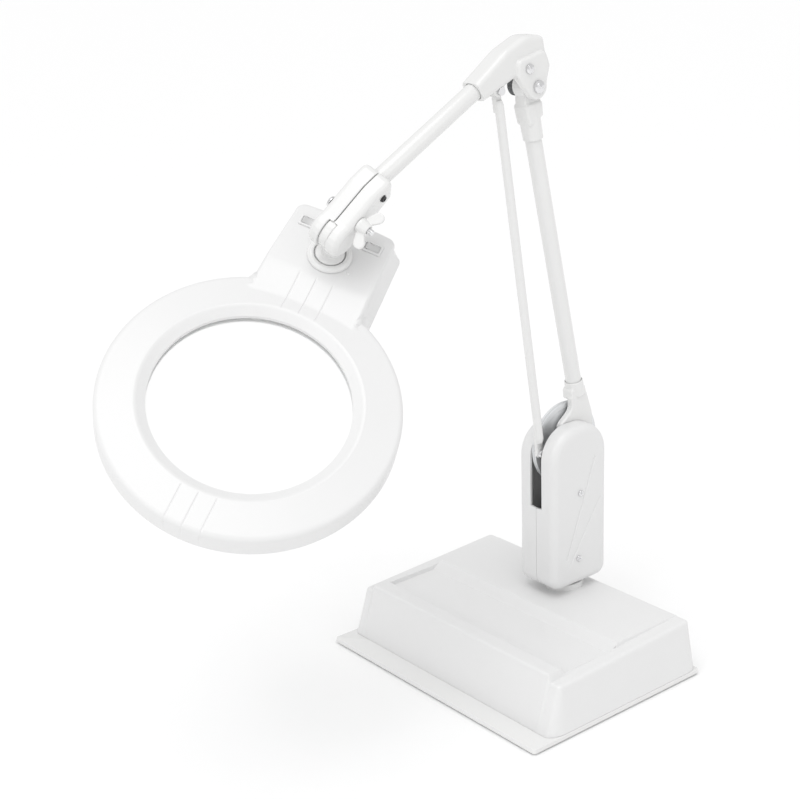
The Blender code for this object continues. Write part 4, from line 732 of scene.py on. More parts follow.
    @staticmethod
    def boundary(top: Array) -> tuple[Array, Array]:
        """The grid's boundary as a loop, each corner repeated while its direction turns a quarter.

        Args:
            top: Grid points of shape (nx, ny, 3).

        Returns:
            The loop's points and their outward directions.
        """
        sides = [top[:, 0], top[-1, :], top[::-1, -1], top[0, ::-1]]
        points, turns = [], []
        for index, side in enumerate(sides):
            facing = math.radians(-90 + 90 * index)
            points.append(side)
            turns.append(np.tile([math.cos(facing), math.sin(facing)], (len(side), 1)))
            sweep_angle = facing + np.radians(np.linspace(12, 78, 6))
            points.append(np.tile(side[-1], (6, 1)))
            turns.append(np.stack([np.cos(sweep_angle), np.sin(sweep_angle)], axis=-1))
        return np.vstack(points), np.vstack(turns)

    def slab(self, node: str, corner: float, edge: float, finish: Finish) -> None:
        """A flat plate: a rounded rectangle carried up its height, its upper rim rounded over.

        Args:
            node: The CAD node.
            corner: The corner radius.
            edge: The rim's rounding.
            finish: The finish.
        """
        low, high, middle = box(node)
        core = (high - low)[:2] / 2 - corner
        rows = [(corner, low[2]), (corner, high[2] - edge)]
        for angle in np.radians([30, 60, 90]):
            rows.append((corner - edge * (1 - math.cos(angle)), high[2] - edge * (1 - math.sin(angle))))
        grid = [rounded_rectangle(middle[:2], core, reach, level, 9) for reach, level in rows]
        fit(surface(f"{node}_sheet", np.array(grid)), self.body, finish, node)

    def post(self) -> None:
        """The fixed post: a flange, a plain tube and a rounded lip, as one turned ring."""
        low, high, middle = box("post_collar")
        radius, bore, flange = 21.0 * MM, 10.4 * MM, (high[0] - low[0]) / 2
        step = low[2] + 6 * MM
        outline = [(bore, low[2]), (flange, low[2]), (flange, step),
                   (radius, step), (radius, high[2]), (bore, high[2])]
        axes = Axes(np.array([middle[0], middle[1], 0.0]), np.eye(3))
        fit(turned_ring("post_collar_turned", outline, 0.8 * MM, axes), self.body, ENAMEL, "post_collar")

    def gland(self) -> None:
        """The lead's gland: a domed bush with a plain shank and an open bore, turned about Y."""
        low, high, middle = box("cord_gland")
        head, bore = (high[0] - low[0]) / 2, 3.4 * MM
        length = high[1] - low[1]
        shank = head - 2 * MM
        outline = [(bore, -length), (shank, -length), (shank, -2.2 * MM), (head, -2.2 * MM),
                   (head * 0.93, -0.6 * MM), (bore + 1.2 * MM, 0.0), (bore, -0.8 * MM)]
        rows = np.array([[1.0, 0, 0], [0, 0, -1.0], [0, 1.0, 0]])
        axes = Axes(np.array([middle[0], high[1], middle[2]]), rows)
        fit(turned_ring("cord_gland_bush", outline, 0.5 * MM, axes, 64), self.body, BLACK, "cord_gland")


# --- turret ---------------------------------------------------------------------------------
@dataclass
class Turret:
    """Two cover halves with their slot and creases, long screws, frame and balance springs."""

    body: str = "turret"
    seam: float = 0.2 * MM
    wall: float = 2.5 * MM
    edge: float = 8.0 * MM
    crown: float = 33.0 * MM
    heel: float = 13.0 * MM
    slot_half: float = 8.0 * MM
    slot_front: float = 158.0 * MM
    slot_back: float = 181.0 * MM
    crease_depth: float = 1.0 * MM
    crease_half: float = 0.85 * MM
    face_rows: int = 120
    creases: tuple = (((93.7, 205.1), (54.3, 102.5), 1.0), ((101.3, 158.8), (57.9, 93.8), 0.5))

    def build(self) -> None:
        """Build and dress every piece of the turret."""
        for node, side in (("housing_left", -1.0), ("housing_right", 1.0)):
            self.half(node, side)
        for node in ("balance_spring_left", "balance_spring_right"):
            self.spring(node)
        for node in ("housing_screw_upper", "housing_screw_lower"):
            CrossHeadScrew(node, self.body, 3.25 * MM, 1.9 * MM, proud=1.2 * MM).build()
            dress(CHROME, node)
        dress(STEEL, "turret_spindle", "shoulder_pin", "spring_anchor", "frame_plate_left",
              "frame_plate_right")
        dress(IRON, "frame_foot")

    def outline(self, low: Array, high: Array) -> tuple[Array, Array]:
        """The side view's outline, anticlockwise from the middle of the foot, with its outward directions.

        Args:
            low: The housing's lowest corner.
            high: Its highest corner.

        Returns:
            Points (y, z) and unit directions (y, z), about 0.8 mm apart.
        """
        front, back, foot, top = low[1], high[1], low[2], high[2]
        middle = (front + back) / 2
        turns = [((back - self.heel, foot + self.heel), self.heel, -90),
                 ((back - self.crown, top - self.crown), self.crown, 0),
                 ((front + self.crown, top - self.crown), self.crown, 90),
                 ((front + self.heel, foot + self.heel), self.heel, 180)]
        points, facing = [np.array([[middle, foot]])], [np.array([[0.0, -1.0]])]
        for centre, radius, start in turns:
            angle = np.radians(np.linspace(start, start + 90, 40 if radius > 20 * MM else 16))
            out = np.stack([np.cos(angle), np.sin(angle)], axis=-1)
            straight = np.array(centre) + out[0] * radius
            last = points[-1][-1]
            count = max(2, int(np.linalg.norm(straight - last) / (0.8 * MM)))
            share = np.linspace(0, 1, count, endpoint=False)[1:, None]
            points += [last + (straight - last) * share, np.array(centre) + out * radius]
            facing += [np.tile(out[0], (len(share), 1)), out]
        last = points[-1][-1]
        share = np.linspace(0, 1, 32, endpoint=False)[1:, None]
        points.append(last + (np.array([middle, foot]) - last) * share)
        facing.append(np.tile([0.0, -1.0], (31, 1)))
        return np.vstack(points), np.vstack(facing)

    def half(self, node: str, side: float) -> None:
        """One cover half: rows run from the seam or the slot's lip, over the edge, to the face's middle.

        Args:
            node: The CAD node.
            side: -1 for the half at -X, 1 for the half at +X.
        """
        low, high, middle = box(node)
        rim, facing = self.outline(low, high)
        y, z = rim[:, 0], rim[:, 1]
        slotted = np.where(y < middle[1], z > self.slot_front, z > self.slot_back)
        deep, near = max(abs(low[0]), abs(high[0])), self.slot_half + 0.5 * MM
        rows = [(np.where(slotted, self.slot_half, self.seam), rim), (self.slot_half + 0.02 * MM, rim)]
        rows += [(near + (deep - self.edge - near) * share, rim) for share in np.linspace(0, 1, 5)]
        for angle in np.radians(np.linspace(11, 90, 8)):
            spot = rim - facing * self.edge * (1 - math.cos(angle))
            rows.append((deep - self.edge + self.edge * math.sin(angle), spot))
        face = rim - facing * self.edge
        for share in np.linspace(0, 1, self.face_rows)[1:-1]:
            spot = face + (middle[1:] - face) * share
            rows.append((deep - self.crease(spot), spot))
        grid = np.array([np.column_stack([np.broadcast_to(x, y.shape), spot]) for x, spot in rows])
        grid[..., 0] *= side
        self.shell(node, grid)

    def crease(self, spot: Array) -> Array:
        """The drop at a spot on the face: a shallow rounded groove along each crease line.

        Args:
            spot: Points (y, z).

        Returns:
            The depth at each.
        """
        depth = np.zeros(len(spot))
        for start, end, strength in self.creases:
            a, b = np.array(start) * MM, np.array(end) * MM
            along = (spot - a) @ (b - a) / ((b - a) @ (b - a))
            gap = np.linalg.norm(spot - (a + np.clip(along, 0, 1)[:, None] * (b - a)), axis=1)
            depth += self.crease_depth * strength * np.exp(-(gap / self.crease_half) ** 2)
        return depth

    def shell(self, node: str, grid: Array) -> None:
        """Close the half's outer face with an inner one, a wall's thickness inside it, and fit it.

        Args:
            node: The CAD node.
            grid: The outer face, from the lip to the middle line.
        """
        along = np.gradient(grid, axis=0)
        around = np.roll(grid, -1, axis=1) - np.roll(grid, 1, axis=1)
        normal = np.cross(around, along)
        length = np.linalg.norm(normal, axis=-1, keepdims=True)
        normal = normal / np.maximum(length, 1e-12)
        middle = grid.reshape(-1, 3).mean(0)
        middle[0] = 0.0
        if np.sum((grid[4] - middle) * normal[4]) < 0:
            normal = -normal
        keep = 16
        inner = grid[:keep] - normal[:keep] * self.wall
        inner[:2] = grid[:2] - normal[2:3] * self.wall
        inner[:2, :, 0] = grid[:2, :, 0]
        side = np.sign(grid[keep, 0, 0])
        floor = grid[keep:].copy()
        floor[..., 0] = side * (np.abs(grid[keep:, :, 0]).max() - self.wall)
        inside = np.concatenate([inner, floor[2::8]])[::-1]
        piece = surface(f"{node}_shell", np.concatenate([inside, grid]))
        fit(piece, self.body, PLASTIC, node)

    def spring(self, node: str) -> None:
        """A tension spring: wire wound as a helix between two open hooks, radius and pitch constant.

        Args:
            node: The CAD node.
        """
        low, high, middle = box(node)
        wire, coil, hook, lead = 0.6 * MM, 4.0 * MM, 3.6 * MM, 11 * MM
        turns = 44
        angle = np.linspace(0, 2 * np.pi * turns, turns * 22)
        foot, head = low[2] + lead, high[2] - lead
        x = middle[0] + coil * np.sin(angle)
        y = middle[1] + coil * np.cos(angle)
        z = foot + (head - foot) * angle / angle[-1]
        coil_path = np.stack([x, y, z], axis=-1)
        bend = np.radians(np.linspace(-250, 90, 26))
        eye = np.stack([np.full(26, 0.0), hook * np.cos(bend), hook * np.sin(bend)], axis=-1)
        eye = eye + [middle[0], middle[1], 0]
        lower = eye + [0, 0, low[2] + hook + wire]
        upper = eye[::-1] * [1, 1, -1] + [0, 0, high[2] - hook - wire]
        path = np.vstack([lower, coil_path, upper])
        fit(sweep(f"{node}_wire", path, wire, 8), self.body, STEEL, node)


# --- arm ------------------------------------------------------------------------------------
@dataclass
class Arm:
    """Both tubes with their cast fittings, the link, the balance disc and the clamp."""

    spring_hook: float = 19.0 * MM
    castings: tuple = (("lower_fitting", "lower_arm", 0.5, 5), ("upper_yoke", "lower_arm", 0.5, 5),
                       ("elbow_bracket", "upper_arm", 0.6, 5), ("link_rod", "link_rod", 0.6, 5),
                       ("clamp_half_left", "wrist_clamp", 0.5, 5),
                       ("clamp_half_right", "wrist_clamp", 0.5, 5),
                       ("wing_nut", "wing_nut", 0.28, 2), ("tilt_stem", "tilt_stem", 0.5, 5))

    def build(self) -> None:
        """Build and dress every piece of the arm."""
        for node, body, cell, passes in self.castings:
            Casting(node, body, ENAMEL, cell * MM, passes).build()
        self.tube("lower_tube", "lower_arm")
        self.tube("upper_tube", "upper_arm")
        self.disc()
        for node in ("friction_washer_inner", "friction_washer_outer"):
            self.washer(node)
        CrossHeadScrew("elbow_bolt", "lower_arm", 5.9 * MM, 3.6 * MM).build()
        CrossHeadScrew("fin_screw", "upper_arm", 4.5 * MM, 2.8 * MM).build()
        dress(CHROME, "elbow_bolt", "fin_screw", "rod_bolt_lower", "rod_bolt_upper")
        dress(STEEL, "elbow_nut")
        self.set_screw()
        self.clamp_bolt()

    def tube(self, node: str, body: str) -> None:
        """A drawn tube: two concentric walls joined by rounded ends, turned about its own axis.

        Args:
            node: The CAD node.
            body: The body it rides on.
        """
        axes, half = bar_axes(node)
        radius = float(np.linalg.norm((node_points(node) - axes.origin) @ axes.rows[:2].T, axis=1).max())
        wall = 1.2 * MM
        outline = [(radius - wall, -half), (radius, -half), (radius, half), (radius - wall, half)]
        fit(turned_ring(f"{node}_drawn", outline, 0.4 * MM, axes), body, ENAMEL, node)

    def disc(self) -> None:
        """The balance disc: a plate with a vee groove round its rim and a raised hub, and its spring pin."""
        low, high, _ = box("crank_disc")
        centre = np.array(joint("crank_turn")["pos_m"])
        radius = (high[2] - low[2]) / 2
        outer, inner = -6.8 * MM, -1.6 * MM
        middle = (outer + inner) / 2
        bore, dip, vee = 5.35 * MM, 0.5 * MM, 1.3 * MM
        near = [(bore, outer), (11 * MM, outer), (11.6 * MM, outer + dip), (radius - 6 * MM, outer + dip),
                (radius - 5.4 * MM, outer), (radius, outer), (radius, middle - vee)]
        far = [(reach, 2 * middle - level) for reach, level in near[::-1]]
        outline = near + [(radius - 2 * MM, middle)] + far
        plate = turned_ring("crank_disc_plate", outline, 0.35 * MM, Axes(centre, TURNED_TO_X), 160)
        fit(plate, "crank", ZINC, "crank_disc")
        pin = np.array([(0.0, low[0]), (2.5 * MM, low[0]), (3 * MM, low[0] + 0.5 * MM), (3 * MM, outer),
                        (0.0, outer)])
        spot = Axes(centre + [-centre[0], self.spring_hook, 0], TURNED_TO_X)
        fit(revolved("crank_spring_pin", pin, spot, 32), "crank", STEEL)

    def washer(self, node: str) -> None:
        """A friction washer stack: the rim's radius ripples along its axis, r = R - a cos(2 pi n t).

        Args:
            node: The CAD node.
        """
        low, high, middle = box(node)
        radius, bore = (high[2] - low[2]) / 2, 4.5 * MM
        x = np.linspace(low[0], high[0], 25)
        ribs = 3
        ripple = radius - 0.45 * MM * (1 - np.cos(2 * np.pi * ribs * (x - x[0]) / (x[-1] - x[0])))
        profile = np.vstack([[bore, low[0]], np.stack([ripple, x], axis=-1), [bore, high[0]]])
        axes = Axes(np.array([0.0, middle[1], middle[2]]), TURNED_TO_X)
        fit(revolved(f"{node}_stack", profile, axes, 72, ring=True), "lower_arm", GREY, node)

    def set_screw(self) -> None:
        """The clamp's set screw: a plain flat-ended shank with a hexagon socket in its face."""
        axes, half = bar_axes("clamp_set_screw", joint("head_tilt")["axis"])
        angle = np.linspace(0, 2 * np.pi, 60, endpoint=False)
        hexagon = 1.5 * MM / np.cos((angle + np.pi / 6) % (np.pi / 3) - np.pi / 6)
        levels = [(3.0 * MM, -half), (3.0 * MM, half - 0.5 * MM), (2.6 * MM, half)]
        levels += [(hexagon, half), (hexagon, half - 1.8 * MM)]
        grid = [np.stack([r * np.cos(angle), r * np.sin(angle), 0 * angle + z], axis=-1) for r, z in levels]
        socket = surface("clamp_set_screw_socket", axes.place(np.array(grid)))
        fit(socket, "wrist_clamp", BLACK, "clamp_set_screw")

    def clamp_bolt(self) -> None:
        """The clamp's bolt: a domed head, then a thread whose radius is a sine of its pitch."""
        axes, half = bar_axes("clamp_bolt", joint("wing_nut_turn")["axis"])
        shank, pitch, cut, threaded = 3.0 * MM, 1.0 * MM, 0.22 * MM, 24 * MM
        height = np.linspace(3.6 * MM - half, half - 0.6 * MM, 260)
        thread = shank - cut * (1 - np.cos(2 * np.pi * height / pitch)) / 2
        thread[height < half - threaded] = shank
        dome = ((0.0, 0.0), (3.2, 0.25), (4.8, 1.1), (5.5, 2.4), (5.5, 3.2), (3.0, 3.2))
        head = np.array(dome) * MM - [0, half]
        tip = np.array([(2.4 * MM, half), (0.0, half)])
        profile = np.vstack([head, np.stack([thread, height], axis=-1), tip])
        fit(revolved("clamp_bolt_threaded", profile, axes, 40), "wrist_clamp", CHROME, "clamp_bolt")


# --- head -----------------------------------------------------------------------------------
@dataclass
class Head:
    """The round shade with its ramped neck, the lens, the ring lamp and the switches."""

    body: str = "head"
    reach: float = 165.2 * MM
    radius: float = 130.0 * MM
    opening: float = 87.0 * MM
    funnel: float = 97.0 * MM
    depth: float = 24.0 * MM
    crown: float = 4.0 * MM
    edge: float = 5.0 * MM
    neck_edge: float = 3.0 * MM
    wall: float = 2.5 * MM
    neck_front: float = -54.0 * MM
    neck_back: float = 42.0 * MM
    ramp_back: float = -28.0 * MM
    platform: float = 7.0 * MM
    half_front: float = 50.0 * MM
    half_back: float = 46.0 * MM
    flare: float = 8.5 * MM
    corner: float = 9.0 * MM
    groove_gap: float = 16.0 * MM
    groove_depth: float = 0.55 * MM
    groove_half: float = 0.5 * MM
    slope_in: float = 0.56
    slope_out: float = 0.145
    slope_side: float = 2.2
    seat: tuple = ((98.2, -13.5), (95.8, -13.5), (95.8, -4.5), (87.0, -4.5))
    axes: Axes = field(default_factory=lambda: joint_axes("head_swivel", "rocker_left_press"))

    def build(self) -> None:
        """Build and dress every piece of the head."""
        self.shell()
        self.lens()
        self.rings()
        self.lamp()
        self.collar()
        for side, name in ((-1.0, "left"), (1.0, "right")):
            self.switch(side, name)
        dress(PLASTIC, "neck_cover")
        dress(STEEL, "lamp_clip_1", "lamp_clip_2", "lamp_clip_3", "stem_nut")
        dress(BLACK, "ballast")
        dress(GREY, "starter")
        dress(BAKELITE, "lamp_base", "lamp_holder")

    @property
    def centre(self) -> Axes:
        """The frame at the lens's middle."""
        return Axes(self.axes.place(np.array([0.0, -self.reach, 0.0])), self.axes.rows)

    def neck_half(self, y: Array) -> Array:
        """Half the platform's width at y, a straight line from the back to the ring."""
        share = (self.neck_back - y) / (self.neck_back - self.neck_front)
        return self.half_back + (self.half_front - self.half_back) * share

    def outline(self, bearing: Array, level: float) -> Array:
        """How far the outline is from the lens's middle: the ring's circle or the neck, the further one.

        The neck's outline is its straight back, a quarter circle and its straight side, turned into
        bearings and distances and read in between, so the distance is one function of the bearing.

        Args:
            bearing: Angles from the neck's direction.
            level: The height at which the outline is taken.

        Returns:
            The distance at each bearing.
        """
        grow = self.flare * (self.platform - level) / (self.platform + self.depth)
        back = self.neck_back + grow
        side = self.neck_half(np.array(back - self.corner)) + grow
        turn = np.radians(np.linspace(90, 0, 24))
        straight = np.linspace(back - self.corner, -self.reach, 40)[1:]
        arc = [side, back] + self.corner * (np.stack([np.cos(turn), np.sin(turn)], axis=-1) - 1)
        x = np.concatenate([[0.0], arc[:, 0], self.neck_half(straight) + grow])
        y = np.concatenate([[back], arc[:, 1], straight])
        toward, reach = np.arctan2(x, y + self.reach), np.hypot(x, y + self.reach)
        neck = np.interp(np.abs(bearing), toward, reach, right=0.0)
        return smooth_max(np.full_like(bearing, self.radius), neck, 3 * MM)

    def bearings(self) -> Array:
        """Bearings whose outline points lie close on the neck and the front grooves, and even elsewhere.

        Returns:
            The bearings, from -pi to pi.
        """
        dense = np.linspace(-np.pi, np.pi, 40001)
        reach = self.outline(dense, 0.0)
        x, y = reach * np.sin(dense), reach * np.cos(dense)
        step = np.hypot(np.diff(x), np.diff(y))
        fine = (np.abs(x[1:]) < 24 * MM) | (reach[1:] > self.radius + 1 * MM)
        weight = step * np.where(fine, 1 / (0.55 * MM), 1 / (2.2 * MM))
        travel = np.concatenate([[0], np.cumsum(weight)])
        count = int(travel[-1])
        return np.interp(np.linspace(0, travel[-1], count, endpoint=False), travel, dense)

    def height(self, x: Array, y: Array) -> Array:
        """The top's height: a crowned ring with a funnel to the lens, and a ramp up to the platform.

        Args:
            x: Positions across the head.
            y: Positions along it, from the stem.

        Returns:
            The height at each, grooves included.
        """
        r = np.hypot(x, y + self.reach)
        slope_in = (r - self.opening) * self.slope_in - 1.0 * MM
        slope_out = self.crown - np.maximum(r - self.funnel, 0) * self.slope_out
        ring = smooth_min(slope_in, slope_out, 1.6 * MM)
        foot = self.crown - 1.6 * MM
        ramp = foot + (y - self.neck_front) * (self.platform - foot) / (self.ramp_back - self.neck_front)
        neck = smooth_min(ramp, np.full_like(y, self.platform), 1.0 * MM)
        neck = neck - self.slope_side * np.maximum(np.abs(x) - self.neck_half(y), 0)
        top = smooth_max(ring, neck, 0.9 * MM)
        return top - self.grooves(x, y, r)

    def grooves(self, x: Array, y: Array, r: Array) -> Array:
        """Three straight, round-bottomed grooves across the ring's front and the ramp's foot.

        Args:
            x: Positions across the head.
            y: Positions along it.
            r: Distances from the lens's middle.

        Returns:
            The depth at each.
        """
        start = soft_step(self.funnel + 1 * MM - r, 0.0, 0.4 * MM)
        stop = soft_step(y, self.ramp_back - 1 * MM, 0.4 * MM)
        return self.flutes(x) * start * stop

    def shell(self) -> None:
        """The moulded shell: columns run from the lens's edge over the top, down the side and back inside."""
        bearing = self.bearings()
        direction = np.stack([np.sin(bearing), np.cos(bearing)], axis=-1)
        middle = np.array([0.0, -self.reach])
        rim = middle + direction * self.outline(bearing, 0.0)[:, None]
        tangent = np.roll(rim, -1, axis=0) - np.roll(rim, 1, axis=0)
        out = np.stack([-tangent[:, 1], tangent[:, 0]], axis=-1)
        out /= np.linalg.norm(out, axis=1, keepdims=True)
        out *= np.sign(np.sum(out * direction, axis=1, keepdims=True))
        lean = 1 / np.clip(np.sum(out * direction, axis=1), 0.34, 1)
        lean = sum(np.roll(lean, step) for step in range(-3, 4)) / 7
        along = direction * lean[:, None]
        in_neck = np.clip((self.outline(bearing, 0.0) - self.radius) / (6 * MM), 0, 1)
        edge = self.edge + (self.neck_edge - self.edge) * in_neck
        shoulder = rim - along * edge[:, None]
        start = middle + direction * self.opening
        rows = []
        for share in np.linspace(0, 1, 74):
            spot = start + (shoulder - start) * share
            rows.append(np.column_stack([spot, self.height(spot[:, 0], spot[:, 1])]))
        brow = rows[-1][:, 2]
        for angle in np.radians([15, 30, 45, 60, 75, 90]):
            spot = rim - along * (edge * (1 - math.sin(angle)))[:, None]
            rows.append(np.column_stack([spot, brow - edge * (1 - math.cos(angle))]))
        flute = self.flutes(rim[:, 0]) * (rim[:, 1] < -self.reach)
        for share in np.linspace(0.05, 1, 9):
            level = (brow - edge) + (-self.depth - (brow - edge)) * share
            reach = self.outline_at(bearing, level) - flute * (1 - share)
            rows.append(np.column_stack([middle + direction * reach[:, None], level]))
        foot = rows[-1][:, :2]
        inner_foot = foot - along * self.wall
        rows.append(np.column_stack([inner_foot, np.full(len(bearing), -self.depth)]))
        ceiling = shoulder - along * self.wall
        rows.append(np.column_stack([ceiling + along * 1.0 * MM, brow - edge - 1 * MM]))
        lens_wall = middle + direction * (self.seat[0][0] * MM)
        for share in np.linspace(0, 1, 10):
            spot = ceiling + (lens_wall - ceiling) * share
            level = np.minimum(self.height(spot[:, 0], spot[:, 1]) - self.wall, self.platform - self.wall)
            rows.append(np.column_stack([spot, level]))
        for reach, level in self.seat:
            rows.append(np.column_stack([middle + direction * reach * MM, np.full(len(bearing), level * MM)]))
        piece = surface("head_shell_moulding", self.axes.place(np.array(rows)), wrap_rows=True)
        fit(piece, self.body, PLASTIC, "head_shell")

    def outline_at(self, bearing: Array, level: Array) -> Array:
        """The outline where each bearing has its own level.

        Args:
            bearing: The bearings.
            level: The height at each.

        Returns:
            The distance at each, read between the outlines at the top and the foot.
        """
        share = np.clip((self.platform - level) / (self.platform + self.depth), 0, 1)
        top, foot = self.outline(bearing, self.platform), self.outline(bearing, -self.depth)
        return top + (foot - top) * share

    def flutes(self, x: Array) -> Array:
        """The depth of the three grooves at each position across the head."""
        middles = (-self.groove_gap, 0.0, self.groove_gap)
        return self.groove_depth * sum(np.exp(-((x - middle) / self.groove_half) ** 2) for middle in middles)

    def lens(self) -> None:
        """The lens: two spherical faces, z = sqrt(R^2 - r^2) less a constant, and a ground edge."""
        radius, edge, bulge, middle = 89.5 * MM, 4.0 * MM, 6.0 * MM, -7.3 * MM
        ball = (radius ** 2 + bulge ** 2) / (2 * bulge)
        r = np.linspace(0, radius - 0.4 * MM, 40)
        cap = edge / 2 + bulge - ball + np.sqrt(ball ** 2 - r ** 2)
        upper = np.stack([r, middle + cap], axis=-1)
        lower = np.stack([r[::-1], middle - cap[::-1]], axis=-1)
        land = edge / 2 - 0.3 * MM
        rim = np.array([[radius, middle + land], [radius, middle - land]])
        piece = revolved("magnifier_lens_ground", np.vstack([upper, rim, lower]), self.centre, 192)
        fit(piece, self.body, LENS_GLASS, "magnifier_lens")

    def rings(self) -> None:
        """The lens's retaining ring, stepped, and the reflector, a dished plate of even thickness."""
        step = np.array([(87.5, -10.1), (95.5, -10.1), (95.5, -12.7), (89.5, -12.7), (87.5, -11.4)]) * MM
        ring = turned_ring("lens_ring_stepped", step, 0.5 * MM, self.centre, 160)
        fit(ring, self.body, PLASTIC, "lens_ring")
        inner, outer, half = 98.9, 123.8, 0.35
        r = np.linspace(inner, outer, 24)
        dish = -4.9 + 0.35 * np.cos((r - inner) / (outer - inner) * 2 * np.pi)
        face = np.stack([r, dish - half], axis=-1)
        back = np.stack([r, dish + half], axis=-1)[::-1]
        plate = revolved("reflector_dish", np.vstack([face, back]) * MM, self.centre, 160, ring=True)
        fit(plate, self.body, MIRROR_WHITE, "reflector")

    def lamp(self) -> None:
        """The ring lamp: a glass tube bent round the lens, its ends necked in and capped by ferrules."""
        gap = math.radians(13.0)
        bend = np.linspace(math.pi / 2 + gap, 2.5 * math.pi - gap, 200)
        reach = 112.0 * MM
        level = np.full(200, -14.0 * MM)
        path = self.centre.place(np.stack([reach * np.cos(bend), reach * np.sin(bend), level], axis=-1))
        travel = np.minimum(np.arange(200), np.arange(200)[::-1]) * reach * (bend[1] - bend[0])
        radius = 8.0 * MM - 0.8 * MM * np.exp(-(travel / (3 * MM)) ** 2)
        fit(sweep("ring_lamp_glass", path, radius, 32), self.body, PHOSPHOR, "ring_lamp")
        for name, ferrule in (("start", path[:9]), ("end", path[-9:])):
            fit(sweep(f"lamp_ferrule_{name}", ferrule, 8.2 * MM, 32), self.body, STEEL)

    def collar(self) -> None:
        """The swivel collar: a stepped dish with a rounded rim, and the small stop dimple beside it."""
        low = self.platform + 0.3 * MM
        corners = ((7.15, 0.0), (20.5, 0.0), (20.2, 2.6), (17.6, 4.2), (14.8, 4.2), (14.0, 1.3), (7.15, 1.3))
        outline = np.array(corners) * MM + [0, low]
        collar = turned_ring("stem_collar_turned", outline, 0.8 * MM, self.axes, 128, bend=5)
        fit(collar, self.body, ENAMEL, "stem_collar")
        stop = np.array([(0.0, -0.4), (1.7, -0.4), (1.7, 0.5), (1.2, 0.85), (0.0, 0.95)]) * MM
        spot = Axes(self.axes.place(np.array([22.4 * MM, -11 * MM, self.platform])), self.axes.rows)
        fit(revolved("swivel_stop_pip", stop, spot, 40), self.body, ENAMEL)

    def switch(self, side: float, name: str) -> None:
        """A switch: a rounded bezel round a shallow well, and a rocker key dished along its length.

        Args:
            side: -1 or 1 for the side of the neck.
            name: The same side in a word.
        """
        middle, corner = np.array([side * 31.0 * MM, 25.0 * MM]), 1.2 * MM
        rings = ((9.0, 6.0, 0.2), (9.0, 6.0, 1.1), (8.6, 5.6, 1.5),
                 (7.3, 4.3, 1.5), (7.0, 4.0, 1.2), (7.0, 4.0, 0.25))
        grid = []
        for long, wide, level in rings:
            core = np.array([long, wide]) * MM - corner
            grid.append(rounded_rectangle(middle, core, corner, self.platform + level * MM, 10))
        bezel = surface(f"switch_bezel_{name}", self.axes.place(np.array(grid)))
        fit(bezel, self.body, PLASTIC, f"switch_body_{name}")
        pivot = joint(f"rocker_{name}_press")["pos_m"]
        tilt = math.radians(7.0)
        tip = np.array([[math.cos(tilt), 0, -math.sin(tilt)], [0, 1, 0], [math.sin(tilt), 0, math.cos(tilt)]])
        axes = Axes(np.array(pivot), tip @ self.axes.rows)
        u = np.linspace(-1, 1, 33)
        v = np.linspace(-1, 1, 13)
        x, y = np.meshgrid(u * 6.2 * MM, v * 3.5 * MM, indexing="ij")
        soft_sides = 0.5 * MM * (np.clip(np.abs(v) * 3 - 2, 0, 1) ** 2)[None]
        soft_ends = 0.3 * MM * (np.clip(np.abs(u) * 6 - 5, 0, 1) ** 2)[:, None]
        dish = 2.5 * MM + 1.7 * MM * (u ** 2)[:, None]
        upper = np.stack([x, y, dish - soft_sides - soft_ends], axis=-1)
        loop = np.vstack([upper[:-1, 0], upper[-1, :-1], upper[:0:-1, -1], upper[0, :0:-1]])
        under = loop * [0.9, 1.0, 0] + [0, 0, -1.6 * MM]
        key = lidded(f"rocker_{name}_key", axes.place(upper), axes.place(np.stack([loop, under])))
        fit(key, f"rocker_{name}", KEY_WHITE, f"rocker_{name}")


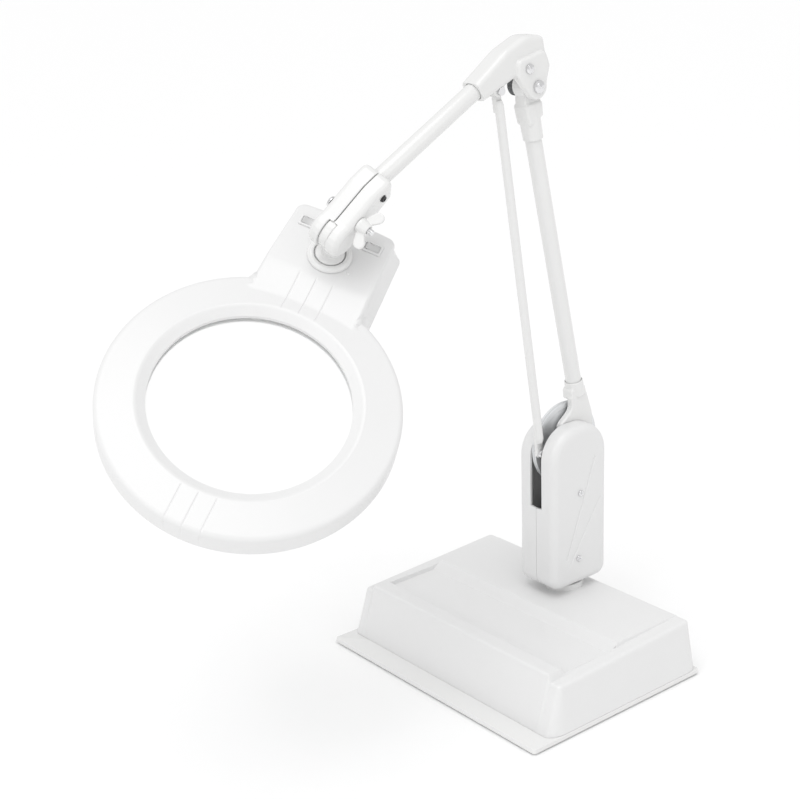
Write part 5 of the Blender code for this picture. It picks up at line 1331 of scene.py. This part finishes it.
# --- studio ---------------------------------------------------------------------------------
@dataclass
class Studio:
    """Plain pale floor, soft lights and the camera."""

    azimuth: float = 51.492
    elevation: float = 19.242
    roll: float = -2.153
    position: tuple[float, float, float] = (1.0906, -1.0036, 0.8032)
    lens: float = 72.13
    floor_half: float = 16.0
    surround: float = 0.76
    sun: float = 1.08
    panels: tuple = (("front_panel", (0.4, -2.0, 1.1), 1.2, 4.5), ("right_panel", (1.9, 0.3, 1.2), 0.9, 2.0))

    def camera(self) -> None:
        """Stand the camera at its bearing, height and roll."""
        azimuth, elevation, roll = (math.radians(a) for a in (self.azimuth, self.elevation, self.roll))
        level = math.cos(elevation)
        back = np.array([math.sin(azimuth) * level, -math.cos(azimuth) * level, math.sin(elevation)])
        right = unit(np.cross(-back, [0, 0, 1.0]))
        up = np.cross(right, -back)
        across = math.cos(roll) * right + math.sin(roll) * up
        upright = -math.sin(roll) * right + math.cos(roll) * up
        data = bpy.data.cameras.new("studio_camera")
        data.sensor_width = 36.0
        data.lens = self.lens
        data.clip_end = 50.0
        camera = bpy.data.objects.new("studio_camera", data)
        bpy.context.scene.collection.objects.link(camera)
        camera.matrix_world = Matrix.Translation(self.position) @ Matrix(
            np.column_stack([across, upright, back]).tolist()).to_4x4()
        bpy.context.scene.camera = camera

    def floor(self) -> None:
        """A wide pale floor with a faint even grain."""
        size = self.floor_half
        mesh = bpy.data.meshes.new("studio_floor")
        corners = [(-size, -size, 0), (size, -size, 0), (size, size, 0), (-size, size, 0)]
        mesh.from_pydata(corners, [], [(0, 1, 2, 3)])
        floor = bpy.data.objects.new("studio_floor", mesh)
        bpy.context.scene.collection.objects.link(floor)
        paper = Finish("studio_paper", "", (0.93, 0.93, 0.93), 0.9, Surface.SMOOTH, mottle=0.002, relief=0.0)
        mesh.materials.append(paper.material())

    def lights(self) -> None:
        """A bright even surround, a broad overhead sun, and soft panels in front and at the side."""
        bpy.context.scene.view_settings.view_transform = "Standard"
        world = bpy.data.worlds.new("studio_surround")
        world.use_nodes = True
        surround = world.node_tree.nodes["Background"].inputs
        surround["Color"].default_value = (1.0, 1.0, 1.0, 1.0)
        surround["Strength"].default_value = self.surround
        bpy.context.scene.world = world
        sun = bpy.data.lights.new("overhead_sky", "SUN")
        sun.energy = self.sun
        sun.angle = math.radians(50)
        overhead = bpy.data.objects.new("overhead_sky", sun)
        overhead.rotation_euler = (math.radians(18), math.radians(12), 0)
        bpy.context.scene.collection.objects.link(overhead)
        target = Vector((0.0, -0.1, 0.3))
        for name, place, size, power in self.panels:
            data = bpy.data.lights.new(name, "AREA")
            data.size = size
            data.energy = power
            lamp = bpy.data.objects.new(name, data)
            lamp.location = place
            lamp.rotation_euler = (target - Vector(place)).to_track_quat("-Z", "Y").to_euler()
            bpy.context.scene.collection.objects.link(lamp)

    def build(self) -> None:
        """Set up the camera, floor and lights."""
        self.camera()
        self.floor()
        self.lights()


def main() -> None:
    """Build the lamp's look in order."""
    logging.basicConfig(level=logging.INFO, format="%(name)s: %(message)s")
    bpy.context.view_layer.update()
    Studio().build()
    for assembly in (Base(), Turret(), Arm(), Head()):
        assembly.build()
        LOG.info("finished %s", type(assembly).__name__.lower())


if __name__ == "__main__":
    main()
